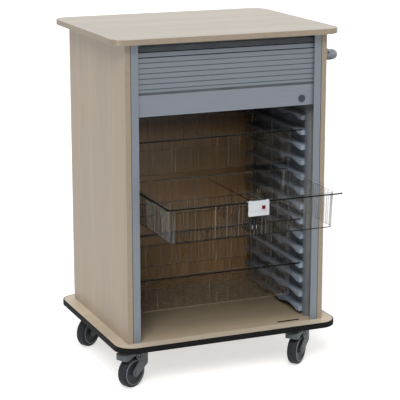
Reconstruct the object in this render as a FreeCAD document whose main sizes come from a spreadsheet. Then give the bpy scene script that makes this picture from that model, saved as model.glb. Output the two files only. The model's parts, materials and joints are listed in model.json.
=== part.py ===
import FreeCAD, Part
import math
import os
import Sketcher
from types import SimpleNamespace

# Mobile tray cabinet with a roller shutter, in millimetres, +Z up, the front towards -Y.
#
# The cabinet is laid out about the middle of its side panels in X and Y, with Z = 0 on top of the
# base board. Every piece is then shifted so that the origin is the middle of the footprint, on the floor.

SIZES = {
    # carcass
    "cabinet_width": 684.0,
    "cabinet_depth": 535.0,
    "panel_thick": 18.0,
    "back_thick": 9.5,
    # top board
    "top_side_overhang": 43.0,
    "top_front_overhang": 31.5,
    "top_back_overhang": 50.5,
    "top_corner": 57.0,
    "top_edge_round": 2.0,
    # base board and its bumper edge
    "base_side_overhang": 40.0,
    "base_front_overhang": 42.5,
    "base_back_overhang": 39.5,
    "base_corner": 56.0,
    "bumper_thick": 4.0,
    "bumper_round": 1.5,
    # shutter tracks
    "track_width": 25.0,
    "track_front_lip": 3.5,
    "track_groove": 39.0,
    "track_rear_lip": 16.5,
    "track_web": 5.0,
    "coil_room": 3.0,
    # shutter curtain
    "ladder_headroom": 20.5,
    "bar_height": 67.5,
    "bar_front_gap": 6.0,
    "bar_thick": 17.0,
    "bar_wall": 2.5,
    "bar_lip": 8.0,
    "track_engagement": 12.0,
    "slat_pitch": 16.4,
    "slat_thick": 8.0,
    "slat_chamfer": 1.6,
    "slat_count": 9.0,
    "slat_top_gap": 12.4,
    "upper_slat_thick": 7.0,
    "curtain_gap": 2.0,
    "upper_overlap": 4.5,
    # shutter lock
    "lock_from_side": 82.0,
    "lock_rise": 21.5,
    "lock_radius": 10.0,
    "lock_head_radius": 11.5,
    "lock_head_thick": 1.5,
    "key_slot_length": 9.0,
    "key_slot_width": 2.0,
    "cam_reach": 36.0,
    "cam_width": 12.0,
    "cam_thick": 3.0,
    "cam_setback": 9.5,
    "cam_room": 3.0,
    "strike_slot_length": 81.0,
    "strike_slot_width": 11.0,
    "strike_slot_depth": 12.0,
    # shutter roller
    "roller_radius": 15.0,
    "coil_radius": 45.0,
    "coil_sides": 17.0,
    "coil_top_gap": 15.0,
    "shaft_radius": 6.0,
    "shaft_in_bracket": 3.0,
    "roller_bracket_thick": 6.0,
    "roller_bracket_width": 44.0,
    "roller_bracket_height": 70.0,
    "roller_end_gap": 2.0,
    "header_shelf_gap": 5.5,
    # tray ladders
    "runner_pitch": 50.0,
    "runner_count": 14.0,
    "first_runner": 28.0,
    "runner_reach": 36.0,
    "runner_foot": 15.0,
    "runner_foot_length": 20.0,
    "runner_web": 5.0,
    "ladder_back_gap": 33.0,
    "ladder_plate": 3.0,
    "ladder_gap": 3.5,
    "ladder_top_margin": 24.0,
    "column_width": 12.0,
    "column_reach": 12.0,
    "ladder_screw_radius": 2.5,
    "ladder_screw_head": 5.0,
    "ladder_screw_head_thick": 1.5,
    "ladder_screw_depth": 12.0,
    # trays
    "tray_width": 590.0,
    "tray_depth": 393.0,
    "tray_height": 112.0,
    "tray_flange": 20.0,
    "tray_flange_thick": 2.5,
    "tray_wall": 2.0,
    "tray_floor": 2.0,
    "tray_inset": 4.5,
    "tray_corner": 12.0,
    "tray_rim_corner": 8.0,
    "tray_rib": 1.0,
    "tray_rib_width": 2.4,
    "tray_rib_pitch": 26.0,
    "tray_setback": 2.0,
    "pull_out": 285.0,
    "level_top": 12.0,
    "level_open": 9.0,
    "level_third": 6.0,
    "level_bottom": 3.0,
    "divider_thick": 2.0,
    "divider_drop": 8.0,
    "divider_end_gap": 0.5,
    # label on the open tray
    "label_width": 69.0,
    "label_height": 46.5,
    "label_from_middle": 4.0,
    "label_rise": 3.5,
    "label_thick": 2.0,
    "label_hook": 9.0,
    "label_gap": 0.2,
    "mark_side": 11.5,
    "mark_thick": 0.6,
    "mark_from_label_middle": 16.0,
    "mark_drop": 21.0,
    # push handle
    "handle_drop": 81.0,
    "handle_radius": 12.5,
    "handle_wall": 2.0,
    "elbow_radius": 15.5,
    "elbow_bend": 28.0,
    "handle_standoff": 65.0,
    "handle_span": 410.0,
    "handle_screw_radius": 3.2,
    "handle_screw_depth": 8.0,
    "handle_screw_from_panel": 33.0,
    "handle_screw_tilt": 47.0,
    # casters
    "caster_height": 130.0,
    "caster_side_inset": 94.0,
    "caster_front_inset": 80.0,
    "caster_rear_inset": 102.0,
    "heading_front_left": 206.3,
    "heading_front_right": 220.5,
    "heading_rear_left": 213.5,
    "heading_rear_right": 214.0,
    "caster_trail": 42.0,
    "wheel_radius": 50.0,
    "tyre_width": 32.0,
    "tyre_thick": 11.0,
    "tyre_shoulder": 9.0,
    "hub_width": 34.0,
    "hub_dish": 4.0,
    "hub_boss_radius": 11.0,
    "hub_ring_width": 5.0,
    "axle_radius": 4.0,
    "axle_head_radius": 7.0,
    "axle_head_thick": 3.0,
    "plate_side": 80.0,
    "plate_corner": 8.0,
    "plate_thick": 4.0,
    "bearing_radius": 25.0,
    "bearing_height": 8.0,
    "kingpin_radius": 6.0,
    "fork_gap": 0.3,
    "fork_width": 46.0,
    "fork_slot": 37.0,
    "fork_front": 25.0,
    "fork_nose": 15.2,
    "fork_front_drop": 37.7,
    "fork_rear": 38.0,
    "fork_rear_drop": 21.7,
    "fork_corner": 8.0,
    "leg_step": 10.0,
    "fork_eye": 13.0,
    "tyre_clearance": 3.0,
    "bolt_spacing": 60.0,
    "bolt_radius": 4.0,
    "bolt_head_radius": 6.5,
    "bolt_head_thick": 4.0,
    "bolt_grip": 14.0,
    "hole_clearance": 0.25,
    "running_clearance": 0.05,
    # brake pedals
    "pedal_pin_out": 27.0,
    "pedal_pin_drop": 12.7,
    "pedal_pin_radius": 2.5,
    "pin_recess_radius": 6.5,
    "pin_recess_depth": 1.2,
    "pedal_bay": 18.0,
    "pedal_boss_radius": 5.5,
    "pedal_neck_top": 1.7,
    "pedal_top_rise": 2.5,
    "pedal_reach": 97.0,
    "pedal_width": 44.0,
    "pedal_nose": 10.0,
    "pedal_tip_height": 20.0,
    "pedal_tip_corner": 8.0,
    "pedal_side_gap": 0.5,
    "pedal_fork_gap": 2.0,
    "pedal_tyre_gap": 7.0,
}

doc = FreeCAD.newDocument("TrayCabinet")


class Size:
    """A length or angle that carries its value and the sheet formula that gives it."""

    def __init__(self, value, formula):
        self.value = value
        self.formula = formula

    def __add__(self, other):
        other = as_size(other)
        return Size(self.value + other.value, f"({self.formula} + {other.formula})")

    def __sub__(self, other):
        other = as_size(other)
        return Size(self.value - other.value, f"({self.formula} - {other.formula})")

    def __mul__(self, factor):
        factor = as_size(factor)
        return Size(self.value * factor.value, f"({self.formula} * {factor.formula})")

    def __truediv__(self, divisor):
        divisor = as_size(divisor)
        return Size(self.value / divisor.value, f"({self.formula} / {divisor.formula})")

    def __neg__(self):
        return Size(-self.value, f"(-{self.formula})")


def as_size(amount):
    return amount if isinstance(amount, Size) else Size(float(amount), f"({float(amount)})")


def slope_angle(rise, run):
    """The angle whose tangent is rise over run, in degrees."""
    angle = math.degrees(math.atan2(rise.value, run.value))
    return Size(angle, f"atan({rise.formula} / {run.formula})")


def arc_radius(chord, rise):
    """The radius of an arc that rises this much above its chord."""
    return chord * chord / (rise * 8) + rise / 2


def make_sheet():
    """The spreadsheet of driving dimensions, one aliased cell each."""
    sheet = doc.addObject("Spreadsheet::Sheet", "Sizes")
    for row, (name, value) in enumerate(SIZES.items(), 1):
        sheet.set(f"A{row}", name)
        sheet.set(f"B{row}", str(value))
        sheet.setAlias(f"B{row}", name)
    doc.recompute()
    return SimpleNamespace(**{name: Size(value, f"Sizes.{name}") for name, value in SIZES.items()})


d = make_sheet()
ZERO = as_size(0)
nodes = []

# places that several pieces share
side_x = d.cabinet_width / 2
inner_x = side_x - d.panel_thick
front_y = -(d.cabinet_depth / 2)
back_y = d.cabinet_depth / 2
track_x = inner_x - d.track_width
track_back_y = front_y + d.track_front_lip + d.track_groove + d.track_rear_lip
curtain_x = track_x + d.track_engagement
curtain_y = front_y + d.track_front_lip + d.bar_front_gap
bar_back_y = curtain_y + d.bar_thick
upper_y = bar_back_y + d.curtain_gap
upper_back_y = upper_y + d.upper_slat_thick
roller_y = upper_back_y + d.curtain_gap + d.coil_radius
cam_y = curtain_y + d.cam_setback
lock_x = side_x - d.lock_from_side
ladder_y = track_back_y + d.ladder_gap
ladder_depth = back_y - d.back_thick - d.ladder_back_gap - ladder_y
handle_x = side_x + d.handle_standoff
handle_y = d.handle_span / 2
plate_bottom = -d.plate_thick
bearing_bottom = plate_bottom - d.bearing_height
fork_top = bearing_bottom - d.fork_gap
axle_drop = d.caster_height - d.wheel_radius
tray_shell_height = d.tray_height - d.tray_flange_thick
tray_closed_y = ladder_y + d.tray_setback

# heights over the base board, which the ladders and the shutter add up to
ladder_bottom = d.first_runner - d.runner_foot
ladder_top = d.first_runner + d.runner_pitch * (d.runner_count - 1) + d.ladder_top_margin
bar_bottom = ladder_top + d.ladder_headroom
bar_top = bar_bottom + d.bar_height
lock_z = bar_bottom + d.lock_rise
cabinet_height = bar_top + d.slat_pitch * d.slat_count + d.slat_top_gap
roller_height = cabinet_height - d.coil_top_gap - d.coil_radius
handle_height = cabinet_height - d.handle_drop

# the shift from the cabinet's layout to the part's own frame
low_x = -(side_x + d.base_side_overhang + d.bumper_thick)
high_x = handle_x + d.elbow_radius
low_y = tray_closed_y - d.pull_out - d.label_gap - d.label_thick - d.mark_thick
high_y = back_y + d.top_back_overhang
shift_x = -((low_x + high_x) / 2)
shift_y = -((low_y + high_y) / 2)
shift_z = d.panel_thick + d.caster_height


def bind(target, prop, amount):
    """Ties a property to its sheet formula."""
    target.setExpression(prop, as_size(amount).formula)


def place(piece, x, y, z, heading=None):
    """Puts a piece at a point of the cabinet's layout, turned about +Z by heading."""
    at = [x + shift_x, y + shift_y, z + shift_z]
    turn = FreeCAD.Rotation(FreeCAD.Vector(0, 0, 1), heading.value if heading else 0)
    piece.Placement = FreeCAD.Placement(FreeCAD.Vector(*[p.value for p in at]), turn)
    for axis, amount in zip("xyz", at):
        bind(piece, f"Placement.Base.{axis}", amount)
    if heading:
        bind(piece, "Placement.Rotation.Angle", heading)


def origin_feature(body, role):
    return next(f for f in body.Origin.OriginFeatures if f.Role == role)


def new_body(name, x=ZERO, y=ZERO, z=ZERO, heading=None):
    """An empty body whose label names its node."""
    body = doc.addObject("PartDesign::Body", name)
    body.Label = name
    place(body, x, y, z, heading)
    nodes.append(body)
    return body


def sketch_on(body, plane, offset=ZERO):
    """A sketch on the XY, XZ or YZ plane of its body; offset runs along +Z, -Y or +X."""
    sketch = body.newObject("Sketcher::SketchObject", f"{body.Name}_{plane}")
    sketch.AttachmentSupport = (origin_feature(body, f"{plane}_Plane"), [""])
    sketch.MapMode = "FlatFace"
    bind(sketch, "AttachmentOffset.Base.z", offset)
    return sketch


def fix_point(sketch, geometry, point, x, y):
    """Holds a point of a sketch at a distance from the sketch's origin."""
    for kind, amount in (("DistanceX", x), ("DistanceY", y)):
        rule = sketch.addConstraint(
            Sketcher.Constraint(kind, -1, 1, geometry, point, amount.value)
        )
        bind(sketch, f"Constraints[{rule}]", amount)


def fix_radius(sketch, geometry, radius):
    rule = sketch.addConstraint(Sketcher.Constraint("Radius", geometry, radius.value))
    bind(sketch, f"Constraints[{rule}]", radius)


def draw_arc(start, end, radius, turn):
    """An arc between two points; turn is +1 when it runs anticlockwise from start to end."""
    chord = end - start
    left = FreeCAD.Vector(-chord.y, chord.x, 0).normalize()
    centre_height = math.sqrt(max(radius**2 - (chord.Length / 2) ** 2, 0))
    centre = (start + end) / 2 + left * centre_height * turn
    first, last = (start, end) if turn > 0 else (end, start)
    angles = [math.atan2(p.y - centre.y, p.x - centre.x) for p in (first, last)]
    circle = Part.Circle(centre, FreeCAD.Vector(0, 0, 1), radius)
    return Part.ArcOfCircle(circle, *angles)


def draw_loop(sketch, corners):
    """A closed outline. A corner is (x, y), or (x, y, radius, turn) where an arc leads to it."""
    corners = [[as_size(c[0]), as_size(c[1]), *c[2:]] for c in corners]
    points = [FreeCAD.Vector(c[0].value, c[1].value, 0) for c in corners]
    first = sketch.GeometryCount
    ends = []
    for k, corner in enumerate(corners):
        start, end = points[k - 1], points[k]
        if len(corner) > 2:
            radius, turn = as_size(corner[2]), corner[3]
            sketch.addGeometry(draw_arc(start, end, radius.value, turn), False)
            fix_radius(sketch, first + k, radius)
            ends.append((1, 2) if turn > 0 else (2, 1))
        else:
            sketch.addGeometry(Part.LineSegment(start, end), False)
            ends.append((1, 2))
    for k, corner in enumerate(corners):
        after = (k + 1) % len(corners)
        sketch.addConstraint(
            Sketcher.Constraint("Coincident", first + k, ends[k][1], first + after, ends[after][0])
        )
        fix_point(sketch, first + k, ends[k][1], corner[0], corner[1])
    return sketch


def draw_rectangle(sketch, x0, y0, x1, y1):
    return draw_loop(sketch, [(x0, y0), (x1, y0), (x1, y1), (x0, y1)])


def draw_rounded(sketch, x0, y0, x1, y1, r):
    """A rectangle with round corners."""
    x0, y0, x1, y1, r = [as_size(v) for v in (x0, y0, x1, y1, r)]
    return draw_loop(
        sketch,
        [
            (x1 - r, y0),
            (x1, y0 + r, r, 1),
            (x1, y1 - r),
            (x1 - r, y1, r, 1),
            (x0 + r, y1),
            (x0, y1 - r, r, 1),
            (x0, y0 + r),
            (x0 + r, y0, r, 1),
        ],
    )


def draw_slot(sketch, x0, x1, y, r):
    """A slot with round ends, between the two end centres, drawn in quarter arcs."""
    x0, x1, y, r = [as_size(v) for v in (x0, x1, y, r)]
    return draw_loop(
        sketch,
        [
            (x1 + r, y, r, 1),
            (x1, y + r, r, 1),
            (x0, y + r),
            (x0 - r, y, r, 1),
            (x0, y - r, r, 1),
            (x1, y - r),
        ],
    )


def draw_circle(sketch, x, y, radius):
    x, y, radius = [as_size(v) for v in (x, y, radius)]
    index = sketch.GeometryCount
    centre = FreeCAD.Vector(x.value, y.value, 0)
    sketch.addGeometry(Part.Circle(centre, FreeCAD.Vector(0, 0, 1), radius.value), False)
    fix_point(sketch, index, 3, x, y)
    fix_radius(sketch, index, radius)
    return sketch


def grown(body, feature, sign):
    """Recomputes and makes sure that the feature added or removed material."""
    before = feature.BaseFeature.Shape.Volume if feature.BaseFeature else 0
    doc.recompute()
    change = feature.Shape.Volume - before
    if change * sign <= 0:
        raise ValueError(f"{feature.Name} of {body.Label} changed the volume by {change:.3f}")
    return feature


def pad(body, sketch, length, both=False, reverse=False):
    """Material on the sketch, along its normal, against it, or half each way."""
    feature = body.newObject("PartDesign::Pad", f"{body.Name}_pad")
    feature.Profile = sketch
    feature.SideType = "Symmetric" if both else "One side"
    feature.Reversed = reverse
    bind(feature, "Length", length)
    return grown(body, feature, 1)


def pocket(body, sketch, length, both=False, reverse=False, draft=None):
    """A cut from the sketch, against its normal, along it when reversed, or half each way."""
    feature = body.newObject("PartDesign::Pocket", f"{body.Name}_pocket")
    feature.Profile = sketch
    feature.SideType = "Symmetric" if both else "One side"
    feature.Reversed = reverse
    bind(feature, "Length", length)
    if draft:
        bind(feature, "TaperAngle", draft)
    return grown(body, feature, -1)


def pattern(body, feature, axis, length, count, reverse=False):
    """Copies of a feature spread evenly over a length along an axis of the body."""
    row = body.newObject("PartDesign::LinearPattern", f"{body.Name}_row")
    row.Originals = [feature]
    row.Direction = (origin_feature(body, f"{axis}_Axis"), [""])
    row.Reversed = reverse
    row.Occurrences = count
    bind(row, "Length", length)
    body.Tip = row
    row_sign = 1 if feature.TypeId == "PartDesign::Pad" else -1
    return grown(body, row, row_sign)


def revolve(body, sketch, axis):
    feature = body.newObject("PartDesign::Revolution", f"{body.Name}_revolution")
    feature.Profile = sketch
    feature.ReferenceAxis = (sketch, [axis])
    return grown(body, feature, 1)


def round_edges(body, base, chosen, radius):
    """Fillets the edges that the test picks."""
    names = [f"Edge{k}" for k, edge in enumerate(base.Shape.Edges, 1) if chosen(edge)]
    feature = body.newObject("PartDesign::Fillet", f"{body.Name}_fillet")
    feature.Base = (base, names)
    bind(feature, "Radius", radius)
    return grown(body, feature, -1)


def lies_at(edge, axis, value):
    """Whether the whole edge lies in the plane where axis has this value."""
    box = edge.BoundBox
    return max(abs(getattr(box, f"{axis}{side}") - value) for side in ("Min", "Max")) < 1e-3


# ---- carcass -----------------------------------------------------------------------------------


def caster_places():
    """Each caster's name, place, the way its wheel trails and whether it has a brake."""
    x = side_x + d.base_side_overhang - d.caster_side_inset
    front = front_y - d.base_front_overhang + d.caster_front_inset
    rear = back_y + d.base_back_overhang - d.caster_rear_inset
    return [
        ("front_left", -x, front, d.heading_front_left, True),
        ("front_right", x, front, d.heading_front_right, True),
        ("rear_left", -x, rear, d.heading_rear_left, False),
        ("rear_right", x, rear, d.heading_rear_right, False),
    ]


def bolt_places():
    """The mounting bolts' places, four to a caster, turned with the cabinet and not the wheel."""
    half = d.bolt_spacing / 2
    return [
        (x + half * i, y + half * j)
        for _, x, y, _, _ in caster_places()
        for i in (-1, 1)
        for j in (-1, 1)
    ]


def make_top_board():
    body = new_body("top_board", z=cabinet_height)
    x = side_x + d.top_side_overhang
    outline = draw_rounded(
        sketch_on(body, "XY"),
        -x,
        front_y - d.top_front_overhang,
        x,
        back_y + d.top_back_overhang,
        d.top_corner,
    )
    board = pad(body, outline, d.panel_thick)
    faces = (0.0, d.panel_thick.value)
    round_edges(body, board, lambda e: any(lies_at(e, "Z", f) for f in faces), d.top_edge_round)


def make_base_board():
    body = new_body("base_board", z=-d.panel_thick)
    x = side_x + d.base_side_overhang
    y0 = front_y - d.base_front_overhang
    y1 = back_y + d.base_back_overhang
    outline = draw_rounded(sketch_on(body, "XY"), -x, y0, x, y1, d.base_corner)
    pad(body, outline, d.panel_thick)
    slot = sketch_on(body, "XY", d.panel_thick)
    strike_y = cam_y + d.cam_thick / 2
    slot_right = lock_x + d.cam_width / 2 + d.cam_room
    half_wide = d.strike_slot_width / 2
    slot_left = slot_right - d.strike_slot_length
    draw_slot(slot, slot_left + half_wide, slot_right - half_wide, strike_y, half_wide)
    pocket(body, slot, d.strike_slot_depth)
    holes = sketch_on(body, "XY")
    for bolt_x, bolt_y in bolt_places():
        draw_circle(holes, bolt_x, bolt_y, d.bolt_radius + d.hole_clearance)
    pocket(body, holes, d.bolt_grip, reverse=True)


def make_bumper():
    """The black edging that wraps round the base board."""
    body = new_body("base_bumper", z=-d.panel_thick)
    x = side_x + d.base_side_overhang
    y0 = front_y - d.base_front_overhang
    y1 = back_y + d.base_back_overhang
    rim = d.bumper_thick
    ring = sketch_on(body, "XY")
    draw_rounded(ring, -x - rim, y0 - rim, x + rim, y1 + rim, d.base_corner + rim)
    draw_rounded(ring, -x, y0, x, y1, d.base_corner)
    band = pad(body, ring, d.panel_thick)
    outer = (x + rim).value

    def on_outer_rim(edge):
        flat = lies_at(edge, "Z", 0) or lies_at(edge, "Z", d.panel_thick.value)
        box = edge.BoundBox
        reach = max(abs(box.XMin), abs(box.XMax)) > outer - d.base_corner.value
        inner = max(abs(box.XMin), abs(box.XMax)) < x.value + 1e-3
        touches = (
            abs(box.YMin - (y0 - rim).value) < 1e-3
            or abs(box.YMax - (y1 + rim).value) < 1e-3
            or (reach and not inner)
        )
        return flat and touches

    round_edges(body, band, on_outer_rim, d.bumper_round)


def ladder_screw_places():
    """Screws through the ladder plates: two columns, low and high, as (y, z)."""
    inset = d.runner_foot_length * 2
    ys = (ladder_y + inset, ladder_y + ladder_depth - inset)
    low = d.first_runner + d.runner_pitch / 2
    high = low + d.runner_pitch * (d.runner_count - 2)
    return [(y, z) for y in ys for z in (low, high)]


def make_side_panel(name, side):
    body = new_body(name)
    edges = (inner_x, side_x) if side > 0 else (-side_x, -inner_x)
    pad(body, draw_rectangle(sketch_on(body, "XY"), edges[0], front_y, edges[1], back_y), cabinet_height)
    holes = sketch_on(body, "YZ", inner_x * side)
    for y, z in ladder_screw_places():
        draw_circle(holes, y, z, d.ladder_screw_radius + d.running_clearance)
    pocket(body, holes, d.ladder_screw_depth, reverse=side > 0)


def make_back_panel():
    body = new_body("back_panel")
    outline = draw_rectangle(sketch_on(body, "XY"), -inner_x, back_y - d.back_thick, inner_x, back_y)
    pad(body, outline, cabinet_height)


def make_header_shelf():
    """The shelf that closes the roller space above the trays."""
    body = new_body("header_shelf", z=bar_bottom + d.header_shelf_gap)
    outline = draw_rectangle(sketch_on(body, "XY"), -inner_x, ladder_y, inner_x, back_y - d.back_thick)
    pad(body, outline, d.panel_thick)


# ---- shutter -----------------------------------------------------------------------------------


def make_track(name, side):
    """A channel that opens towards the middle, cut away behind at the top to clear the coil."""
    body = new_body(name)
    wall, mouth, groove = inner_x * side, track_x * side, (inner_x - d.track_web) * side
    lip_y = front_y + d.track_front_lip
    groove_y = lip_y + d.track_groove
    section = draw_loop(
        sketch_on(body, "XY"),
        [
            (wall, front_y),
            (mouth, front_y),
            (mouth, lip_y),
            (groove, lip_y),
            (groove, groove_y),
            (mouth, groove_y),
            (mouth, track_back_y),
            (wall, track_back_y),
        ],
    )
    pad(body, section, cabinet_height)
    notch = sketch_on(body, "YZ", (inner_x - d.track_width / 2) * side)
    draw_rectangle(
        notch,
        upper_back_y + d.curtain_gap / 2,
        roller_height - d.coil_radius - d.coil_room,
        track_back_y + d.coil_room,
        cabinet_height + d.coil_room,
    )
    pocket(body, notch, d.track_width * 2, both=True)


def make_bottom_bar():
    """A hollow extrusion, open at the back, which holds the lock."""
    body = new_body("shutter_bottom_bar")
    wall, lip = d.bar_wall, d.bar_lip
    bottom, top = bar_bottom, bar_top
    section = draw_loop(
        sketch_on(body, "YZ"),
        [
            (curtain_y, bottom),
            (bar_back_y, bottom),
            (bar_back_y, bottom + lip),
            (bar_back_y - wall, bottom + lip),
            (bar_back_y - wall, bottom + wall),
            (curtain_y + wall, bottom + wall),
            (curtain_y + wall, top - wall),
            (bar_back_y - wall, top - wall),
            (bar_back_y - wall, top - lip),
            (bar_back_y, top - lip),
            (bar_back_y, top),
            (curtain_y, top),
        ],
    )
    pad(body, section, curtain_x * 2, both=True)
    barrel_hole = sketch_on(body, "XZ", -curtain_y)
    draw_circle(barrel_hole, lock_x, lock_z, d.lock_radius + d.running_clearance)
    pocket(body, barrel_hole, d.bar_wall * 2, both=True)
    cam_slot = sketch_on(body, "XY", bottom)
    draw_rectangle(
        cam_slot,
        lock_x - d.cam_reach - d.cam_room,
        cam_y - d.cam_room / 2,
        lock_x + d.cam_width / 2 + d.cam_room,
        cam_y + d.cam_thick + d.cam_room / 2,
    )
    pocket(body, cam_slot, d.bar_wall * 2, both=True)


def make_slats(name, y, bottom, thick, count):
    """A flat run of so many slats of the curtain, with a chamfered groove between each pair."""
    body = new_body(name)
    nick = d.slat_chamfer
    section = draw_loop(
        sketch_on(body, "YZ"),
        [
            (y + nick, bottom),
            (y + thick, bottom),
            (y + thick, bottom + d.slat_pitch),
            (y + nick, bottom + d.slat_pitch),
            (y, bottom + d.slat_pitch - nick),
            (y, bottom + nick),
        ],
    )
    slat = pad(body, section, curtain_x * 2, both=True)
    pattern(body, slat, "Z", d.slat_pitch * (count - 1), count)


def make_lock_cylinder():
    body = new_body("lock_cylinder", lock_x, curtain_y, lock_z)
    pad(body, draw_circle(sketch_on(body, "XZ"), 0, 0, d.lock_head_radius), d.lock_head_thick)
    pad(body, draw_circle(sketch_on(body, "XZ"), 0, 0, d.lock_radius), d.cam_setback, reverse=True)
    key = sketch_on(body, "XZ", d.lock_head_thick)
    half_long, half_wide = d.key_slot_length / 2, d.key_slot_width / 2
    draw_rectangle(key, -half_wide, -half_long, half_wide, half_long)
    pocket(body, key, d.cam_setback / 2)


def make_lock_cam():
    """A plate behind the barrel that swings down into the slot in the base."""
    body = new_body("lock_cam", lock_x, cam_y, lock_z)
    half = d.cam_width / 2
    outline = draw_slot(sketch_on(body, "XZ"), -d.cam_reach + half, 0, 0, half)
    pad(body, outline, d.cam_thick, reverse=True)


def make_roller():
    """The sprung roller tube with its shaft ends, and the curtain wound on it."""
    tube = new_body("roller_tube", ZERO, roller_y, roller_height)
    bracket_face = inner_x - d.roller_bracket_thick
    half_tube = bracket_face - d.roller_end_gap
    half_shaft = bracket_face + d.shaft_in_bracket
    pad(tube, draw_circle(sketch_on(tube, "YZ"), 0, 0, d.roller_radius), half_tube * 2, both=True)
    pad(tube, draw_circle(sketch_on(tube, "YZ"), 0, 0, d.shaft_radius), half_shaft * 2, both=True)

    coil = doc.addObject("Part::Cut", "shutter_coil")
    wound = doc.addObject("Part::Prism", "shutter_coil_wound")
    bore = doc.addObject("Part::Cylinder", "shutter_coil_bore")
    bind(wound, "Polygon", d.coil_sides)
    bind(wound, "Circumradius", d.coil_radius)
    bind(bore, "Radius", d.roller_radius)
    along_x = FreeCAD.Rotation(FreeCAD.Vector(0, 1, 0), 90)
    for piece in (wound, bore):
        bind(piece, "Height", curtain_x * 2)
        piece.Placement = FreeCAD.Placement(FreeCAD.Vector(-curtain_x.value, 0, 0), along_x)
        bind(piece, "Placement.Base.x", -curtain_x)
    coil.Base = wound
    coil.Tool = bore
    coil.Label = "shutter_coil"
    place(coil, ZERO, roller_y, roller_height)
    nodes.append(coil)


def make_roller_bracket(name, side):
    body = new_body(name, inner_x * side, roller_y, roller_height)
    half_wide, half_high = d.roller_bracket_width / 2, d.roller_bracket_height / 2
    plate = sketch_on(body, "YZ")
    draw_rounded(plate, -half_wide, -half_high, half_wide, half_high, half_wide / 2)
    draw_circle(plate, 0, 0, d.shaft_radius + d.running_clearance)
    pad(body, plate, d.roller_bracket_thick, reverse=side > 0)


# ---- tray ladders ------------------------------------------------------------------------------


def scallops(start_y, z, length):
    """The corners along a runner's underside, from its front foot to its rear foot."""
    foot = d.runner_foot_length
    hollow = (length - foot * 4) / 3
    rise = d.runner_foot - d.runner_web
    corners = [(start_y, z), (start_y + foot, z)]
    for k in range(3):
        end = start_y + (foot + hollow) * (k + 1)
        corners += [(end, z, arc_radius(hollow, rise), -1), (end + foot, z)]
    return corners


def draw_columns(sketch):
    """The four uprights of a ladder, from its front edge to its rear edge."""
    half = d.column_width / 2
    foot = d.runner_foot_length
    step = (ladder_depth - foot) / 3
    for k in range(4):
        middle = ladder_y + foot / 2 + step * k
        draw_rectangle(sketch, middle - half, ladder_bottom, middle + half, ladder_top)
    return sketch


def make_ladder(name, side):
    """A moulded side frame: a plate with a scalloped foot and four columns."""
    body = new_body(name)
    inward = side > 0
    rear_y = ladder_y + ladder_depth
    plate = sketch_on(body, "YZ", inner_x * side)
    tops = [(rear_y, ladder_top), (ladder_y, ladder_top)]
    draw_loop(plate, scallops(ladder_y, ladder_bottom, ladder_depth) + tops)
    pad(body, plate, d.ladder_plate, reverse=inward)
    pad(body, draw_columns(sketch_on(body, "YZ", inner_x * side)), d.column_reach, reverse=inward)
    holes = sketch_on(body, "YZ", inner_x * side)
    for y, z in ladder_screw_places():
        draw_circle(holes, y, z, d.ladder_screw_radius + d.running_clearance)
    pocket(body, holes, d.ladder_plate * 2, both=True)


def make_runners(name, side):
    """The runners that the trays slide on, one above the other, notched round the columns."""
    body = new_body(name)
    body.AllowCompound = True
    root = (inner_x - d.ladder_plate) * side
    rear_y = ladder_y + ladder_depth
    runner = sketch_on(body, "YZ", root)
    tops = [(rear_y, d.first_runner), (ladder_y, d.first_runner)]
    draw_loop(runner, scallops(ladder_y, ladder_bottom, ladder_depth) + tops)
    lowest = pad(body, runner, d.runner_reach - d.ladder_plate, reverse=side > 0)
    pattern(body, lowest, "Z", d.runner_pitch * (d.runner_count - 1), int(d.runner_count.value))
    notches = draw_columns(sketch_on(body, "YZ", root))
    pocket(body, notches, d.column_reach - d.ladder_plate, reverse=side < 0)


# ---- trays -------------------------------------------------------------------------------------


def make_tray(name, level, y):
    """A tapered clear tray. Its own frame is on the underside of the flange, front edge, middle."""
    body = new_body(name, ZERO, y, d.first_runner + d.runner_pitch * level)
    half = d.tray_width / 2
    flange, wall, inset = d.tray_flange, d.tray_wall, d.tray_inset
    rear = d.tray_depth
    draft = slope_angle(inset, tray_shell_height)

    shell = sketch_on(body, "XY")
    draw_rounded(shell, -half + flange, flange, half - flange, rear - flange, d.tray_corner + wall)
    block = pad(body, shell, tray_shell_height, reverse=True)
    bind(block, "TaperAngle", -draft)
    doc.recompute()

    rim = sketch_on(body, "XY")
    draw_rounded(rim, -half, 0, half, rear, d.tray_rim_corner)
    pad(body, rim, d.tray_flange_thick)

    inside = sketch_on(body, "XY", d.tray_flange_thick)
    edge = flange + wall
    draw_rounded(inside, -half + edge, edge, half - edge, rear - edge, d.tray_corner)
    pocket(body, inside, d.tray_height - d.tray_floor, draft=-draft)

    def wall_ribs(plane, axis, near, far, room, middle):
        """A rib on each of two facing walls, repeated along them about their middle."""
        count = int(room.value // d.tray_rib_pitch.value)
        span = d.tray_rib_pitch * (count - 1)
        start = middle - span / 2
        ribs = sketch_on(body, plane, start if plane == "YZ" else -start)
        root = wall / 2
        low = -tray_shell_height
        for at, out in ((near, -1), (far, 1)):
            draw_loop(
                ribs,
                [
                    (at + d.tray_rib * out, ZERO),
                    (at + (d.tray_rib - inset) * out, low),
                    (at - (root + inset) * out, low),
                    (at - root * out, ZERO),
                ],
            )
        first = pad(body, ribs, d.tray_rib_width, both=True)
        pattern(body, first, axis, span, count)

    clear = flange + d.tray_corner
    wall_ribs("YZ", "X", flange, rear - flange, (half - clear) * 2, ZERO)
    wall_ribs("XZ", "Y", -half + flange, half - flange, rear - clear * 2, rear / 2)


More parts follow.
